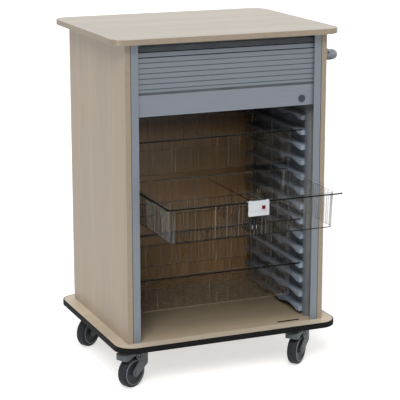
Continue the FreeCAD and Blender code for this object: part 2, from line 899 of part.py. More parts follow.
def make_divider(y):
    """The plate that stands front to back in the open tray."""
    level = d.first_runner + d.runner_pitch * d.level_open
    body = new_body("tray_divider", ZERO, y, level)
    top = d.tray_flange_thick - d.divider_drop
    floor = d.tray_floor - tray_shell_height
    edge = d.tray_flange + d.tray_wall + d.divider_end_gap
    slope = d.tray_inset / tray_shell_height
    top_inset = slope * (d.tray_flange_thick - top)
    floor_inset = slope * (d.tray_flange_thick - floor)
    outline = draw_loop(
        sketch_on(body, "YZ"),
        [
            (edge + floor_inset, floor),
            (d.tray_depth - edge - floor_inset, floor),
            (d.tray_depth - edge - top_inset, top),
            (edge + top_inset, top),
        ],
    )
    pad(body, outline, d.divider_thick, both=True)


def make_label(y):
    """A holder that hooks over the front rim of the open tray, with a plain coloured mark."""
    level = d.first_runner + d.runner_pitch * d.level_open
    holder = new_body("label_holder", d.label_from_middle, y, level)
    rim_top = d.tray_flange_thick
    top = rim_top + d.label_rise
    front = -d.label_gap - d.label_thick
    section = draw_loop(
        sketch_on(holder, "YZ"),
        [
            (front, top - d.label_height),
            (-d.label_gap, top - d.label_height),
            (-d.label_gap, rim_top),
            (d.label_hook, rim_top),
            (d.label_hook, rim_top + d.label_thick),
            (-d.label_gap, rim_top + d.label_thick),
            (-d.label_gap, top),
            (front, top),
        ],
    )
    pad(holder, section, d.label_width, both=True)

    mark = new_body("label_mark", d.label_from_middle, y, level)
    half = d.mark_side / 2
    middle_z = top - d.mark_drop
    square = draw_rectangle(
        sketch_on(mark, "XZ", -front),
        d.mark_from_label_middle - half,
        middle_z - half,
        d.mark_from_label_middle + half,
        middle_z + half,
    )
    pad(mark, square, d.mark_thick)


# ---- push handle -------------------------------------------------------------------------------


def make_elbow(name, end):
    """A cast elbow from the side panel to one end of the handle tube."""
    body = new_body(name, side_x, handle_y * end, handle_height)
    straight = d.handle_standoff - d.elbow_bend
    turn_y = -(d.elbow_bend * end)
    path = sketch_on(body, "XY")
    start, corner = FreeCAD.Vector(0, 0, 0), FreeCAD.Vector(straight.value, 0, 0)
    finish = FreeCAD.Vector(d.handle_standoff.value, turn_y.value, 0)
    path.addGeometry(Part.LineSegment(start, corner), False)
    turn = 1 if turn_y.value > 0 else -1
    path.addGeometry(draw_arc(corner, finish, d.elbow_bend.value, turn), False)
    arc_start, arc_end = (1, 2) if turn > 0 else (2, 1)
    path.addConstraint(Sketcher.Constraint("Coincident", 0, 2, 1, arc_start))
    fix_point(path, 0, 1, ZERO, ZERO)
    fix_point(path, 0, 2, straight, ZERO)
    fix_point(path, 1, arc_end, d.handle_standoff, turn_y)
    fix_radius(path, 1, d.elbow_bend)
    section = draw_circle(sketch_on(body, "YZ"), 0, 0, d.elbow_radius)
    pipe = body.newObject("PartDesign::AdditivePipe", f"{name}_pipe")
    pipe.Profile = section
    pipe.Spine = (path, ["Edge1", "Edge2"])
    grown(body, pipe, 1)
    hole = sketch_on(body, "XY")
    tilt = -d.handle_screw_tilt * end
    hole.AttachmentOffset = FreeCAD.Placement(
        FreeCAD.Vector(), FreeCAD.Rotation(FreeCAD.Vector(1, 0, 0), tilt.value)
    )
    bind(hole, "AttachmentOffset.Rotation.Angle", tilt)
    draw_circle(hole, d.handle_screw_from_panel, 0, d.handle_screw_radius + d.running_clearance)
    pocket(body, hole, d.elbow_radius * 2, reverse=True)


def make_handle_tube():
    body = new_body("handle_tube", handle_x, ZERO, handle_height)
    ring = sketch_on(body, "XZ")
    draw_circle(ring, 0, 0, d.handle_radius)
    draw_circle(ring, 0, 0, d.handle_radius - d.handle_wall)
    pad(body, ring, (handle_y - d.elbow_bend) * 2, both=True)


# ---- casters -----------------------------------------------------------------------------------


def make_mounting_plate(name, x, y):
    """The square plate and bearing housing that stay on the base board."""
    body = new_body(name, x, y, -d.panel_thick)
    half, step = d.plate_side / 2, d.bolt_spacing / 2
    plate = sketch_on(body, "XY")
    draw_rounded(plate, -half, -half, half, half, d.plate_corner)
    for i in (-1, 1):
        for j in (-1, 1):
            draw_circle(plate, step * i, step * j, d.bolt_radius + d.hole_clearance)
    pad(body, plate, d.plate_thick, reverse=True)
    housing = draw_circle(sketch_on(body, "XY", plate_bottom), 0, 0, d.bearing_radius)
    pad(body, housing, d.bearing_height, reverse=True)
    bore = draw_circle(sketch_on(body, "XY"), 0, 0, d.kingpin_radius + d.running_clearance)
    pocket(body, bore, d.plate_thick + d.bearing_height)


def round_nose(body, top, tip, width, rise, depth):
    """Rounds one end of a piece in plan, with an arc that rises over the piece's width."""
    away = 1 if tip.value > 0 else -1
    shoulder, beyond = tip - rise * away, tip + rise * away
    half, clear = width / 2, width
    nose = sketch_on(body, "XY", top)
    draw_loop(
        nose,
        [
            (shoulder, clear),
            (beyond, clear),
            (beyond, -clear),
            (shoulder, -clear),
            (shoulder, -half),
            (shoulder, half, arc_radius(width, rise), away),
        ],
    )
    pocket(body, nose, depth)


def make_fork(name, x, y, heading, braked):
    """A moulded fork: a crown with a kingpin, two slanted legs to the axle eyes, an arch for the tyre."""
    body = new_body(name, x, y, -d.panel_thick, heading)
    front, rear = -d.fork_front, d.fork_rear
    corner, step, eye = d.fork_corner, d.leg_step, d.fork_eye
    rear_low = fork_top - d.fork_rear_drop
    axle_x, axle_z = d.caster_trail, -axle_drop
    rear_touch, front_touch = math.radians(40), math.radians(235)
    legs = sketch_on(body, "XZ")
    draw_loop(
        legs,
        [
            (front, fork_top),
            (rear - corner, fork_top),
            (rear, fork_top - corner, corner, -1),
            (rear, rear_low),
            (rear - step, rear_low - step),
            (axle_x + eye * math.cos(rear_touch), axle_z + eye * math.sin(rear_touch)),
            (axle_x + eye * math.cos(front_touch), axle_z + eye * math.sin(front_touch), eye, -1),
            (front, fork_top - d.fork_front_drop),
        ],
    )
    pad(body, legs, d.fork_width, both=True)
    round_nose(body, fork_top, front, d.fork_width, d.fork_nose, axle_drop)
    arch = sketch_on(body, "XZ")
    draw_circle(arch, axle_x, axle_z, d.wheel_radius + d.tyre_clearance)
    pocket(body, arch, d.fork_slot, both=True)
    if braked:
        pin_x, pin_z = d.pedal_pin_out, fork_top - d.pedal_pin_drop
        bay = sketch_on(body, "XZ")
        draw_rectangle(bay, d.pedal_bay, axle_z, rear + corner, fork_top + corner)
        pocket(body, bay, d.fork_slot, both=True)
        for end in (-1, 1):
            recess = sketch_on(body, "XZ", d.fork_width / 2 * end)
            draw_circle(recess, pin_x, pin_z, d.pin_recess_radius)
            pocket(body, recess, d.pin_recess_depth, reverse=end < 0)
        pin_hole = draw_circle(sketch_on(body, "XZ"), pin_x, pin_z, d.pedal_pin_radius)
        pocket(body, pin_hole, d.fork_width * 2, both=True)
    eye_holes = draw_circle(sketch_on(body, "XZ"), axle_x, axle_z, d.axle_radius)
    pocket(body, eye_holes, d.fork_width * 2, both=True)
    kingpin = draw_circle(sketch_on(body, "XY", fork_top), 0, 0, d.kingpin_radius)
    pad(body, kingpin, d.fork_gap + d.bearing_height + d.plate_thick / 2)


def make_wheel(caster, x, y, heading):
    """The tyre, the hub with its side rings, and the axle across the fork."""
    angle = math.radians(heading.value)
    wheel_x = x + d.caster_trail * math.cos(angle)
    wheel_y = y + d.caster_trail * math.sin(angle)
    wheel_z = -d.panel_thick - axle_drop
    rim = d.wheel_radius - d.tyre_thick
    half = d.tyre_width / 2
    shoulder = d.tyre_shoulder

    tyre = new_body(f"caster_{caster}_tyre", wheel_x, wheel_y, wheel_z, heading)
    section = draw_loop(
        sketch_on(tyre, "YZ"),
        [
            (-half, rim),
            (half, rim),
            (half, d.wheel_radius - shoulder),
            (half - shoulder, d.wheel_radius, shoulder, 1),
            (-half + shoulder, d.wheel_radius),
            (-half, d.wheel_radius - shoulder, shoulder, 1),
        ],
    )
    revolve(tyre, section, "H_Axis")

    hub = new_body(f"caster_{caster}_hub", wheel_x, wheel_y, wheel_z, heading)
    bore = d.axle_radius + d.running_clearance
    face, boss = d.hub_width / 2, d.hub_boss_radius
    web = face - d.hub_dish
    ring = rim - d.hub_ring_width
    section = draw_loop(
        sketch_on(hub, "YZ"),
        [
            (-face, bore),
            (face, bore),
            (face, boss),
            (web, boss),
            (web, ring),
            (half, ring),
            (half, rim),
            (-half, rim),
            (-half, ring),
            (-web, ring),
            (-web, boss),
            (-face, boss),
        ],
    )
    revolve(hub, section, "H_Axis")

    axle = new_body(f"caster_{caster}_axle", wheel_x, wheel_y, wheel_z, heading)
    rod = draw_circle(sketch_on(axle, "XZ"), 0, 0, d.axle_radius)
    pad(axle, rod, d.fork_width, both=True)
    for end in (-1, 1):
        head = draw_circle(sketch_on(axle, "XZ", d.fork_width / 2 * end), 0, 0, d.axle_head_radius)
        pad(axle, head, d.axle_head_thick, reverse=end < 0)


def make_brake(caster, x, y, heading):
    """The foot pedal that hoods the tyre and the pin that it turns on."""
    pedal = new_body(f"caster_{caster}_brake_pedal", x, y, -d.panel_thick, heading)
    pin_x, pin_z = d.pedal_pin_out, fork_top - d.pedal_pin_drop
    axle_x, axle_z = d.caster_trail, -axle_drop
    wide_x = d.fork_rear + d.pedal_fork_gap
    neck_top = fork_top - d.pedal_neck_top
    top, tip, corner = neck_top + d.pedal_top_rise, d.pedal_reach, d.pedal_tip_corner
    low = top - d.pedal_tip_height
    neck_width = d.fork_slot - d.pedal_side_gap * 2

    neck = sketch_on(pedal, "XZ")
    draw_rectangle(neck, pin_x, low, wide_x + d.pedal_fork_gap, neck_top)
    pad(pedal, neck, neck_width, both=True)
    hood = sketch_on(pedal, "XZ")
    draw_loop(
        hood,
        [
            (wide_x, neck_top),
            (tip - corner, top),
            (tip, top - corner, corner, -1),
            (tip, low + corner),
            (tip - corner, low, corner, -1),
            (wide_x, low),
        ],
    )
    pad(pedal, hood, d.pedal_width, both=True)
    round_nose(pedal, top, tip, d.pedal_width, d.pedal_nose, d.pedal_tip_height)
    arch = sketch_on(pedal, "XZ")
    draw_circle(arch, axle_x, axle_z, d.wheel_radius + d.pedal_tyre_gap)
    pocket(pedal, arch, d.pedal_width * 2, both=True)
    boss = draw_circle(sketch_on(pedal, "XZ"), pin_x, pin_z, d.pedal_boss_radius)
    pad(pedal, boss, neck_width, both=True)
    pin_hole = draw_circle(sketch_on(pedal, "XZ"), pin_x, pin_z, d.pedal_pin_radius + d.running_clearance)
    pocket(pedal, pin_hole, d.pedal_width * 2, both=True)

    pin = new_body(f"caster_{caster}_brake_pin", x, y, -d.panel_thick, heading)
    rod = draw_circle(sketch_on(pin, "XZ"), pin_x, pin_z, d.pedal_pin_radius)
    pad(pin, rod, d.fork_width, both=True)


def make_casters():
    for caster, x, y, heading, braked in caster_places():
        make_mounting_plate(f"caster_{caster}_plate", x, y)
        make_fork(f"caster_{caster}_fork", x, y, heading, braked)
        make_wheel(caster, x, y, heading)
        if braked:
            make_brake(caster, x, y, heading)


# ---- fasteners ---------------------------------------------------------------------------------


def screw(head_radius, head_thick, shank_radius, shank_length):
    """A headed fastener along +Z with its head under the origin."""
    head = Part.makeCylinder(head_radius, head_thick, FreeCAD.Vector(0, 0, -head_thick))
    shank = Part.makeCylinder(shank_radius, shank_length)
    return head.fuse(shank).removeSplitter()


def add_fasteners(name, one, places):
    """Copies of one fastener as separate solids in one node; a place is (point, direction)."""
    group = doc.addObject("Part::Feature", name)
    group.Label = name
    copies = []
    for point, direction in places:
        turn = FreeCAD.Rotation(FreeCAD.Vector(0, 0, 1), FreeCAD.Vector(*direction))
        at = FreeCAD.Vector(*[as_size(p).value for p in point])
        copies.append(one.transformed(FreeCAD.Placement(at, turn).toMatrix(), True))
    group.Shape = Part.makeCompound(copies)
    place(group, ZERO, ZERO, ZERO)
    nodes.append(group)


def make_fasteners():
    caster_bolt = screw(
        d.bolt_head_radius.value,
        d.bolt_head_thick.value,
        d.bolt_radius.value,
        (d.plate_thick + d.bolt_grip).value - d.hole_clearance.value * 2,
    )
    under = -d.panel_thick - d.plate_thick
    add_fasteners("caster_bolts", caster_bolt, [((x, y, under), (0, 0, 1)) for x, y in bolt_places()])

    ladder_screw = screw(
        d.ladder_screw_head.value,
        d.ladder_screw_head_thick.value,
        d.ladder_screw_radius.value,
        (d.ladder_plate + d.ladder_screw_depth).value - d.hole_clearance.value * 2,
    )
    plate_x = inner_x - d.ladder_plate
    places = [
        ((plate_x * side, y, z), (side, 0, 0))
        for side in (-1, 1)
        for y, z in ladder_screw_places()
    ]
    add_fasteners("ladder_screws", ladder_screw, places)

    depth = d.handle_screw_depth.value
    grub = Part.makeCylinder(d.handle_screw_radius.value, depth - d.hole_clearance.value)
    screw_x = side_x + d.handle_screw_from_panel
    seat = d.elbow_radius - d.handle_screw_depth
    tilt = math.radians(d.handle_screw_tilt.value)
    across, up = math.sin(tilt), math.cos(tilt)
    places = [
        ((screw_x, (handle_y + seat * across) * end, handle_height + seat * up), (0, across * end, up))
        for end in (-1, 1)
    ]
    add_fasteners("handle_screws", grub, places)


# ---- the whole cabinet -------------------------------------------------------------------------


def make_cabinet():
    make_top_board()
    make_base_board()
    make_bumper()
    make_side_panel("side_panel_left", -1)
    make_side_panel("side_panel_right", 1)
    make_back_panel()
    make_header_shelf()
    make_track("track_left", -1)
    make_track("track_right", 1)
    for side, hand in ((-1, "left"), (1, "right")):
        make_ladder(f"tray_ladder_{hand}", side)
        make_runners(f"tray_runners_{hand}", side)
    make_bottom_bar()
    make_slats("shutter_slats", curtain_y, bar_top, d.slat_thick, int(d.slat_count.value))
    upper_bottom = bar_bottom - d.upper_overlap
    upper_count = int((cabinet_height - upper_bottom).value // d.slat_pitch.value)
    make_slats("shutter_slats_upper", upper_y, upper_bottom, d.upper_slat_thick, upper_count)
    make_lock_cylinder()
    make_lock_cam()
    make_roller()
    make_roller_bracket("roller_bracket_left", -1)
    make_roller_bracket("roller_bracket_right", 1)
    open_y = tray_closed_y - d.pull_out
    make_tray("tray_top", d.level_top, tray_closed_y)
    make_tray("tray_open", d.level_open, open_y)
    make_tray("tray_third", d.level_third, tray_closed_y)
    make_tray("tray_bottom", d.level_bottom, tray_closed_y)
    make_divider(open_y)
    make_label(open_y)
    make_elbow("handle_elbow_front", -1)
    make_elbow("handle_elbow_rear", 1)
    make_handle_tube()
    make_casters()
    make_fasteners()


def write_parts():
    """Checks every object and writes one STEP file per node."""
    doc.recompute()
    for item in doc.Objects:
        if {"Invalid", "Error"} & set(item.State):
            raise ValueError(f"{item.Label} failed: {item.State}")
    os.makedirs("parts", exist_ok=True)
    for piece in nodes:
        shape = piece.Shape
        if shape.isNull() or not shape.isValid() or not shape.Solids:
            raise ValueError(f"{piece.Label} has no valid solid")
        shape.exportStep(f"parts/{piece.Label}.step")


make_cabinet()
write_parts()
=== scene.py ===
import bmesh
import bpy
import json
import math
from mathutils import Matrix, Vector

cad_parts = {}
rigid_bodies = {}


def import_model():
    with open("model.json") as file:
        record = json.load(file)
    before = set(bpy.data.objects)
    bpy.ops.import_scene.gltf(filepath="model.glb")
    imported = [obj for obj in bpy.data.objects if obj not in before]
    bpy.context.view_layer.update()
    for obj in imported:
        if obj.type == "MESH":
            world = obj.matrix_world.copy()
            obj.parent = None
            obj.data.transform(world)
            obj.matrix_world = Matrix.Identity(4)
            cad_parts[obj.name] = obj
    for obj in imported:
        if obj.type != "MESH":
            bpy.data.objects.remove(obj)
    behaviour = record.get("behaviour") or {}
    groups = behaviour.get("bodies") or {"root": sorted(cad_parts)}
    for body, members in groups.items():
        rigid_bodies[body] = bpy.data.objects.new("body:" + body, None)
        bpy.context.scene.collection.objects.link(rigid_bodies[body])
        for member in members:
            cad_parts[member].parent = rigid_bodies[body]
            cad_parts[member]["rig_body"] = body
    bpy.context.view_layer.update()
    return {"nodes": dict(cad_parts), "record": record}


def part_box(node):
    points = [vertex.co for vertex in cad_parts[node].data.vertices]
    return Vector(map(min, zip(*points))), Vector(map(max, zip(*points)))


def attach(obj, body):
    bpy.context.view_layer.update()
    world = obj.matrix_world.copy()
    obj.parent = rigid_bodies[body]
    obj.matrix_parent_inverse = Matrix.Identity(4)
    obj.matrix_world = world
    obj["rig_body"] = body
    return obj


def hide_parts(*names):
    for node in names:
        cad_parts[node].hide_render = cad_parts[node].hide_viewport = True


# The looks of a mobile tray cabinet with a roller shutter. Lengths are in metres, colours in sRGB bytes.

MM = 0.001

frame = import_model()

# sizes of the solids that the details follow
TRAY_FLANGE = 20 * MM
TRAY_LIP = 2.5 * MM
TRAY_WALL = 2 * MM
TRAY_INSET = 4.5 * MM
TRAY_RIM_CORNER = 8 * MM
TRAY_WALL_CORNER = 12 * MM + TRAY_WALL
TRAY_FOOT_CORNER = TRAY_WALL_CORNER - TRAY_INSET
TYRE_THICK = 11 * MM
WHEEL_FACE = 16 * MM
FORK_FACE = 23 * MM
STRIKE_LENGTH = 81 * MM
STRIKE_WIDTH = 11 * MM
STRIKE_DEPTH = 12 * MM
CAM_ROOM = 3 * MM
TRACK_WEB = 5 * MM
TRACK_REAR_LIP = 16.5 * MM
SLAT_PITCH = 16.4 * MM

# the trays' details: half widths are along the wall, and proud is out of it
SKIN_PROUD = 0.05 * MM
WALL_TOP_GAP = 0.5 * MM
WALL_FOOT_GAP = 1.0 * MM
FLUTE_PITCH = 13 * MM
FLUTE_HALF = 0.7 * MM
OPEN_FLUTE_HALF = 1.6 * MM
STRIPE_HALF = 2.2 * MM
FLUTE_PROUD = 0.7 * MM
RIB_PITCH = 2 * FLUTE_PITCH
RIB_HALF = 0.8 * MM
RIB_PROUD = 1.3 * MM
SLOT_PITCH = RIB_PITCH / 3
SLOT_HALF = 1.2 * MM
SLOT_PROUD = 0.5 * MM
SLOT_DROP = 52 * MM
FLANGE_BAND_FRONT = 6 * MM
FLANGE_BAND_SIDE = 9 * MM
BED_CORNER = 70 * MM
FOOT_TALL = 1.5 * MM
OPEN_FOOT_TALL = 3.2 * MM

# the label on the open tray, with a patch of painted shadow under it; the fronts and backs of that patch
# and of the pins are measured out from the tray's wall
FOLD_SHARE = 0.32
FOLD_TALL = 0.8 * MM
CLIP_INSET = 6 * MM
CLIP_HALF = 3 * MM
CLIP_OVERLAP = 1 * MM
CLIP_RISE = 3 * MM
SIDE_CLIP_HALF = 0.8 * MM
SIDE_CLIP_TALL = 6 * MM
SIDE_CLIP_FROM_FOOT = 8 * MM
SIDE_CLIP_FROM_TOP = 14 * MM
LABEL_SHADOW_DROP = 50 * MM
LABEL_SHADOW_LEFT = 12 * MM
LABEL_SHADOW_RIGHT = 48 * MM
LABEL_SHADOW_RISE = 2 * MM
LABEL_SHADOW_BACK = 0.1 * MM
LABEL_SHADOW_FRONT = 0.9 * MM
PIN_PLACES = (24 * MM, 38 * MM)
PIN_HALF = 0.7 * MM
PIN_FOOT = 3 * MM
PIN_TOP = 15 * MM
PIN_BACK = 1.0 * MM
PIN_FRONT = 1.9 * MM

# the shutter, its tracks and the casters; a hinge's row is its height above the bottom bar, in slats. The
# hinges, the seam over the bar and the band at the top are painted shade.
FINE_HINGES = range(1, 7)
FINE_HINGE_HALF = 0.5 * MM
OPEN_HINGES = (7, 8)
OPEN_HINGE_HALF = 1.7 * MM
HINGE_SUNK = 0.1 * MM
BAR_SEAM_ROW = 0.2
BAR_SEAM_HALF = 4.0 * MM
BAR_SEAM_PROUD = 0.4 * MM
TOP_SHADOW_PROUD = 0.4 * MM
TOP_SHADOW_DEEP = 1 * MM
TOP_SHADOW_DROP = 0.5 * MM
BAR_LIP_INSET = 13 * MM
BAR_LIP_FOOT = 0.2 * MM
BAR_LIP_TOP = 3.4 * MM
FELT_WIDTH = 12 * MM
FORK_EDGE = 1.2 * MM
PEDAL_EDGE = 2.2 * MM

# the way each caster trails, in degrees about +Z
CASTERS = {"front_left": 206.3, "front_right": 220.5, "rear_left": 213.5, "rear_right": 214.0}
TRAYS = ("tray_top", "tray_open", "tray_third", "tray_bottom")

# the ways that the walls of a tray face
FRONT = Vector((0, -1, 0))
BACK = Vector((0, 1, 0))
LEFT = Vector((-1, 0, 0))
RIGHT = Vector((1, 0, 0))

# painted shade of the dim room behind the opening: tints, and the share of light that is left at a place,
# painted into the colours of the back panel, the base board and the runners. The places are metres above
# the floor on the back panel, and metres behind the front on the base board and the runners.
FLOOR_SHADE_TINT = (1.0, 0.94, 0.84)
BACK_SHADE_TINT = (0.6, 0.41, 0.21)
RUNNER_SHADE_TINT = (0.94, 0.98, 1.0)
BACK_SHADE_TONES = (
    (0.15, 0.58), (0.26, 0.61), (0.37, 0.73), (0.475, 0.95),
    (0.62, 0.6), (0.7, 0.65), (0.74, 0.22), (0.8, 0.15),
)
BASE_SHADE_TONES = ((0.0, 0.8), (0.045, 0.68), (0.2, 0.38), (0.29, 0.26), (0.39, 0.2))
RUNNER_SHADE_TONES = ((0.0, 1.0), (0.03, 0.95), (0.08, 0.5), (0.2, 0.36), (0.42, 0.15))

# the photograph's viewpoint: front left, above the top
CAMERA_PLACE = (-1.9265, -4.4692, 1.7350)
CAMERA_YAW = 0.3998
CAMERA_PITCH = 0.2403
CAMERA_LENS = 137.18
CAMERA_REACH = 100

AMBIENT = 0.34
FLOOR_GLOW = 0.55
FLOOR_RADIUS = 30
FLOOR_DROP = 0.5 * MM

# in degrees: faces that meet at less than the first look smooth, and at more than the second are rounded
SMOOTH_ANGLE = 35
ROUND_EDGE_ANGLE = 30

# up to this byte the sRGB curve is straight, and these are the colour sockets of a Mix node
SRGB_FOOT = 10
MIX_FIRST, MIX_SECOND, MIX_RESULT = 6, 7, 2


# ---- materials ---------------------------------------------------------------------------------


def linear(byte):
    """An sRGB byte as the linear value of Blender's sockets."""
    return ((byte / 255 + 0.055) / 1.055) ** 2.4 if byte > SRGB_FOOT else byte / 255 / 12.92


def paint(colour, share=1.0):
    """A colour in sRGB bytes, made darker or paler by a share, as linear RGBA."""
    return (*[linear(min(byte * share, 255)) for byte in colour], 1.0)


def drawn_out(grain, share):
    """The scale of coordinates that draws a pattern out along one axis."""
    return tuple(share if axis == grain else 1 for axis in "XYZ")


class Surface:
    """A node material round one Principled shader, with its patterns in object coordinates."""

    def __init__(self, name, roughness, metallic=0.0, gloss=0.5):
        self.material = bpy.data.materials.new(name)
        self.material.use_nodes = True
        self.tree = self.material.node_tree
        self.shader = self.tree.nodes["Principled BSDF"]
        self.shader.inputs["Roughness"].default_value = roughness
        self.shader.inputs["Metallic"].default_value = metallic
        self.shader.inputs["Specular IOR Level"].default_value = gloss

    def node(self, kind, **inputs):
        """A new node; each input is a number, a colour or another node's output."""
        made = self.tree.nodes.new(f"ShaderNode{kind}")
        for name, value in inputs.items():
            self.feed(made.inputs[name.replace("_", " ")], value)
        return made

    def feed(self, socket, value):
        """Links an output to a socket, or sets the socket to a number or colour."""
        if isinstance(value, bpy.types.NodeSocket):
            self.tree.links.new(value, socket)
        else:
            socket.default_value = value

    def place(self):
        return self.node("TexCoord").outputs["Object"]

    def noise(self, scale, stretch=(1, 1, 1), detail=3.0, roughness=0.5):
        """Noise in object coordinates, which are multiplied by the stretch along each axis."""
        place = self.node("Mapping", Vector=self.place(), Scale=stretch).outputs["Vector"]
        made = self.node("TexNoise", Vector=place, Scale=scale, Detail=detail, Roughness=roughness)
        return made.outputs["Fac"]

    def ramp(self, factor, *stops):
        """A colour ramp; a stop is (position, colour)."""
        made = self.node("ValToRGB", Fac=factor)
        points = made.color_ramp.elements
        while len(points) < len(stops):
            points.new(0.5)
        for point, (position, colour) in zip(points, stops):
            point.position = position
            point.color = colour
        return made.outputs["Color"]

    def shades(self, factor, dark, light, low=0.3, high=0.7):
        """A dark colour up to the low factor, which turns to a light one at the high factor."""
        return self.ramp(factor, (low, dark), (high, light))

    def mix(self, factor, first, second, blend="MIX"):
        made = self.node("Mix")
        made.data_type = "RGBA"
        made.blend_type = blend
        self.feed(made.inputs["Factor"], factor)
        self.feed(made.inputs[MIX_FIRST], first)
        self.feed(made.inputs[MIX_SECOND], second)
        return made.outputs[MIX_RESULT]

    def math(self, operation, first, second=0.0):
        made = self.node("Math")
        made.operation = operation
        self.feed(made.inputs[0], first)
        self.feed(made.inputs[1], second)
        return made.outputs[0]

    def span(self, value, low, high):
        """0 at low and 1 at high, whichever of the two is larger, and no less or more beyond them."""
        made = self.node("MapRange", Value=value)
        made.inputs["From Min"].default_value = low
        made.inputs["From Max"].default_value = high
        return made.outputs["Result"]

    def between(self, factor, low, high):
        """Low where the factor is 0, and high where it is 1."""
        made = self.node("MapRange", Value=factor)
        made.inputs["To Min"].default_value = low
        made.inputs["To Max"].default_value = high
        return made.outputs["Result"]

    def axis(self, output, name):
        """One component of a vector output."""
        return self.node("SeparateXYZ", Vector=output).outputs[name]

    def facing(self, name):
        """1 where the surface faces along an axis, either way."""
        normal = self.node("NewGeometry").outputs["Normal"]
        return self.span(self.math("ABSOLUTE", self.axis(normal, name)), 0.6, 0.8)

    def paint_shade_below(self, colour, dark):
        """Painted shade: a colour that turns to a dark one where the surface faces down."""
        normal = self.node("NewGeometry").outputs["Normal"]
        return self.mix(self.span(self.axis(normal, "Z"), 0.5, -0.8), colour, dark)

    def paint_shade(self, colour, axis, low, high, tint, tones):
        """Painted shade: a colour times a tint, inside a box. A tone is (place, share of the tint) along the
        axis.
        """
        place = self.place()
        first, last = tones[0][0], tones[-1][0]
        along = self.span(self.axis(place, axis), first, last)
        stops = [((at - first) / (last - first), (*[share * c for c in tint], 1.0)) for at, share in tones]
        shade = self.ramp(along, *stops)
        inside = 1.0
        for name, near, far in zip("XYZ", low, high):
            part = self.axis(place, name)
            inside = self.math("MULTIPLY", inside, self.math("GREATER_THAN", part, near))
            inside = self.math("MULTIPLY", inside, self.math("LESS_THAN", part, far))
        return self.mix(inside, colour, shade, "MULTIPLY")

    def colour(self, value):
        self.feed(self.shader.inputs["Base Color"], value)

    def bump(self, height, depth):
        made = self.node("Bump", Height=height, Distance=depth)
        self.feed(self.shader.inputs["Normal"], made.outputs["Normal"])

    def rough(self, factor, low, high):
        self.feed(self.shader.inputs["Roughness"], self.between(factor, low, high))

    def clear(self, factor, least, most):
        """Lets light through, all but a share between the least and the most."""
        self.feed(self.shader.inputs["Alpha"], self.between(factor, least, most))
        self.material.surface_render_method = "BLENDED"


def laminate(name, grain, edge_axes, face, painted_shade=None, edge=(160, 145, 125)):
    """Maple laminate with its grain along one axis and a plain edge band on the narrow faces.

    The painted shade of an inner face, if given, is an axis, the box that it fills, its tint and its tones
    along the axis.
    """
    surface = Surface(name, roughness=0.45)
    along = drawn_out(grain, 0.035)
    broad = surface.noise(9, along, detail=3, roughness=0.55)
    fine = surface.noise(190, along, detail=2, roughness=0.6)
    light = paint(face, 1.05)
    figure = surface.shades(broad, paint(face, 0.88), light)
    pores = surface.shades(fine, paint(face, 0.93), light, low=0.35, high=0.6)
    wood = surface.mix(0.35, figure, pores)
    # painted shade of the room behind the opening
    if painted_shade:
        wood = surface.paint_shade(wood, *painted_shade)
    band = surface.shades(surface.noise(60, detail=2), paint(edge, 0.96), paint(edge))
    mask = surface.facing(edge_axes[0])
    for axis in edge_axes[1:]:
        mask = surface.math("MAXIMUM", mask, surface.facing(axis))
    surface.colour(surface.mix(mask, wood, band))
    surface.bump(fine, depth=0.04 * MM)
    surface.rough(broad, 0.38, 0.52)
    return surface.material


def moulded(
    name, colour, roughness=0.5, grain=900, depth=0.03 * MM, spread=0.08, gloss=0.5, painted_shade=None, below=None
):
    """Moulded plastic or rubber with a fine texture and slight patches of wear, with painted shade inside a
    box if given; below is the dark colour of the painted shade on its underside.
    """
    surface = Surface(name, roughness, gloss=gloss)
    patches = surface.noise(14, detail=4)
    texture = surface.noise(grain, detail=2)
    shade = surface.shades(patches, paint(colour, 1 - spread), paint(colour, 1 + spread))
    # painted shade of the room behind the opening
    if painted_shade:
        shade = surface.paint_shade(shade, *painted_shade)
    # painted shade where the surface faces down
    if below:
        shade = surface.paint_shade_below(shade, paint(below))
    surface.colour(shade)
    surface.bump(texture, depth)
    surface.rough(patches, roughness - 0.06, roughness + 0.08)
    return surface.material


def coated_metal(name, colour, grain="Z", metallic=0.25, roughness=0.42):
    """Satin coated or drawn metal with a faint drawing grain."""
    surface = Surface(name, roughness, metallic)
    lines = surface.noise(420, drawn_out(grain, 0.02), detail=2)
    patches = surface.noise(5)
    lined = surface.shades(lines, paint(colour, 0.94), paint(colour))
    patched = surface.shades(patches, paint(colour, 0.96), paint(colour))
    surface.colour(surface.mix(0.4, lined, patched))
    surface.bump(lines, depth=0.02 * MM)
    surface.rough(patches, roughness - 0.05, roughness + 0.05)
    return surface.material


def zinc(name, colour, roughness):
    """Zinc plated steel."""
    surface = Surface(name, roughness, metallic=0.9)
    spangle = surface.noise(260)
    surface.colour(surface.shades(spangle, paint(colour, 0.85), paint(colour)))
    surface.rough(spangle, roughness - 0.06, roughness + 0.1)
    return surface.material


def clear_plastic(name, dark, pale, least, most, streak=320, reach=0.02, gloss=0.5):
    """Clear moulded plastic, with upright streaks that are paler, darker or less clear than the rest.

    It stops between the least and the most of the light. The smaller its reach, the longer its streaks.
    """
    surface = Surface(name, roughness=0.14, gloss=gloss)
    upright = drawn_out("Z", reach)
    streaks = surface.noise(streak, upright, detail=2, roughness=0.6)
    shade = surface.noise(streak * 1.7, upright, detail=1)
    surface.colour(surface.shades(shade, paint(dark), paint(pale), low=0.44, high=0.56))
    surface.clear(surface.span(streaks, 0.42, 0.64), least, most)
    surface.bump(streaks, depth=0.08 * MM)
    return surface.material


def inner_room():
    """The corners of the room behind the opening, up to just inside the back panel's face."""
    low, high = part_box("back_panel")
    front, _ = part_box("side_panel_left")
    return Vector((low.x, front.y, front.z - MM)), Vector((high.x, low.y + MM, high.z))


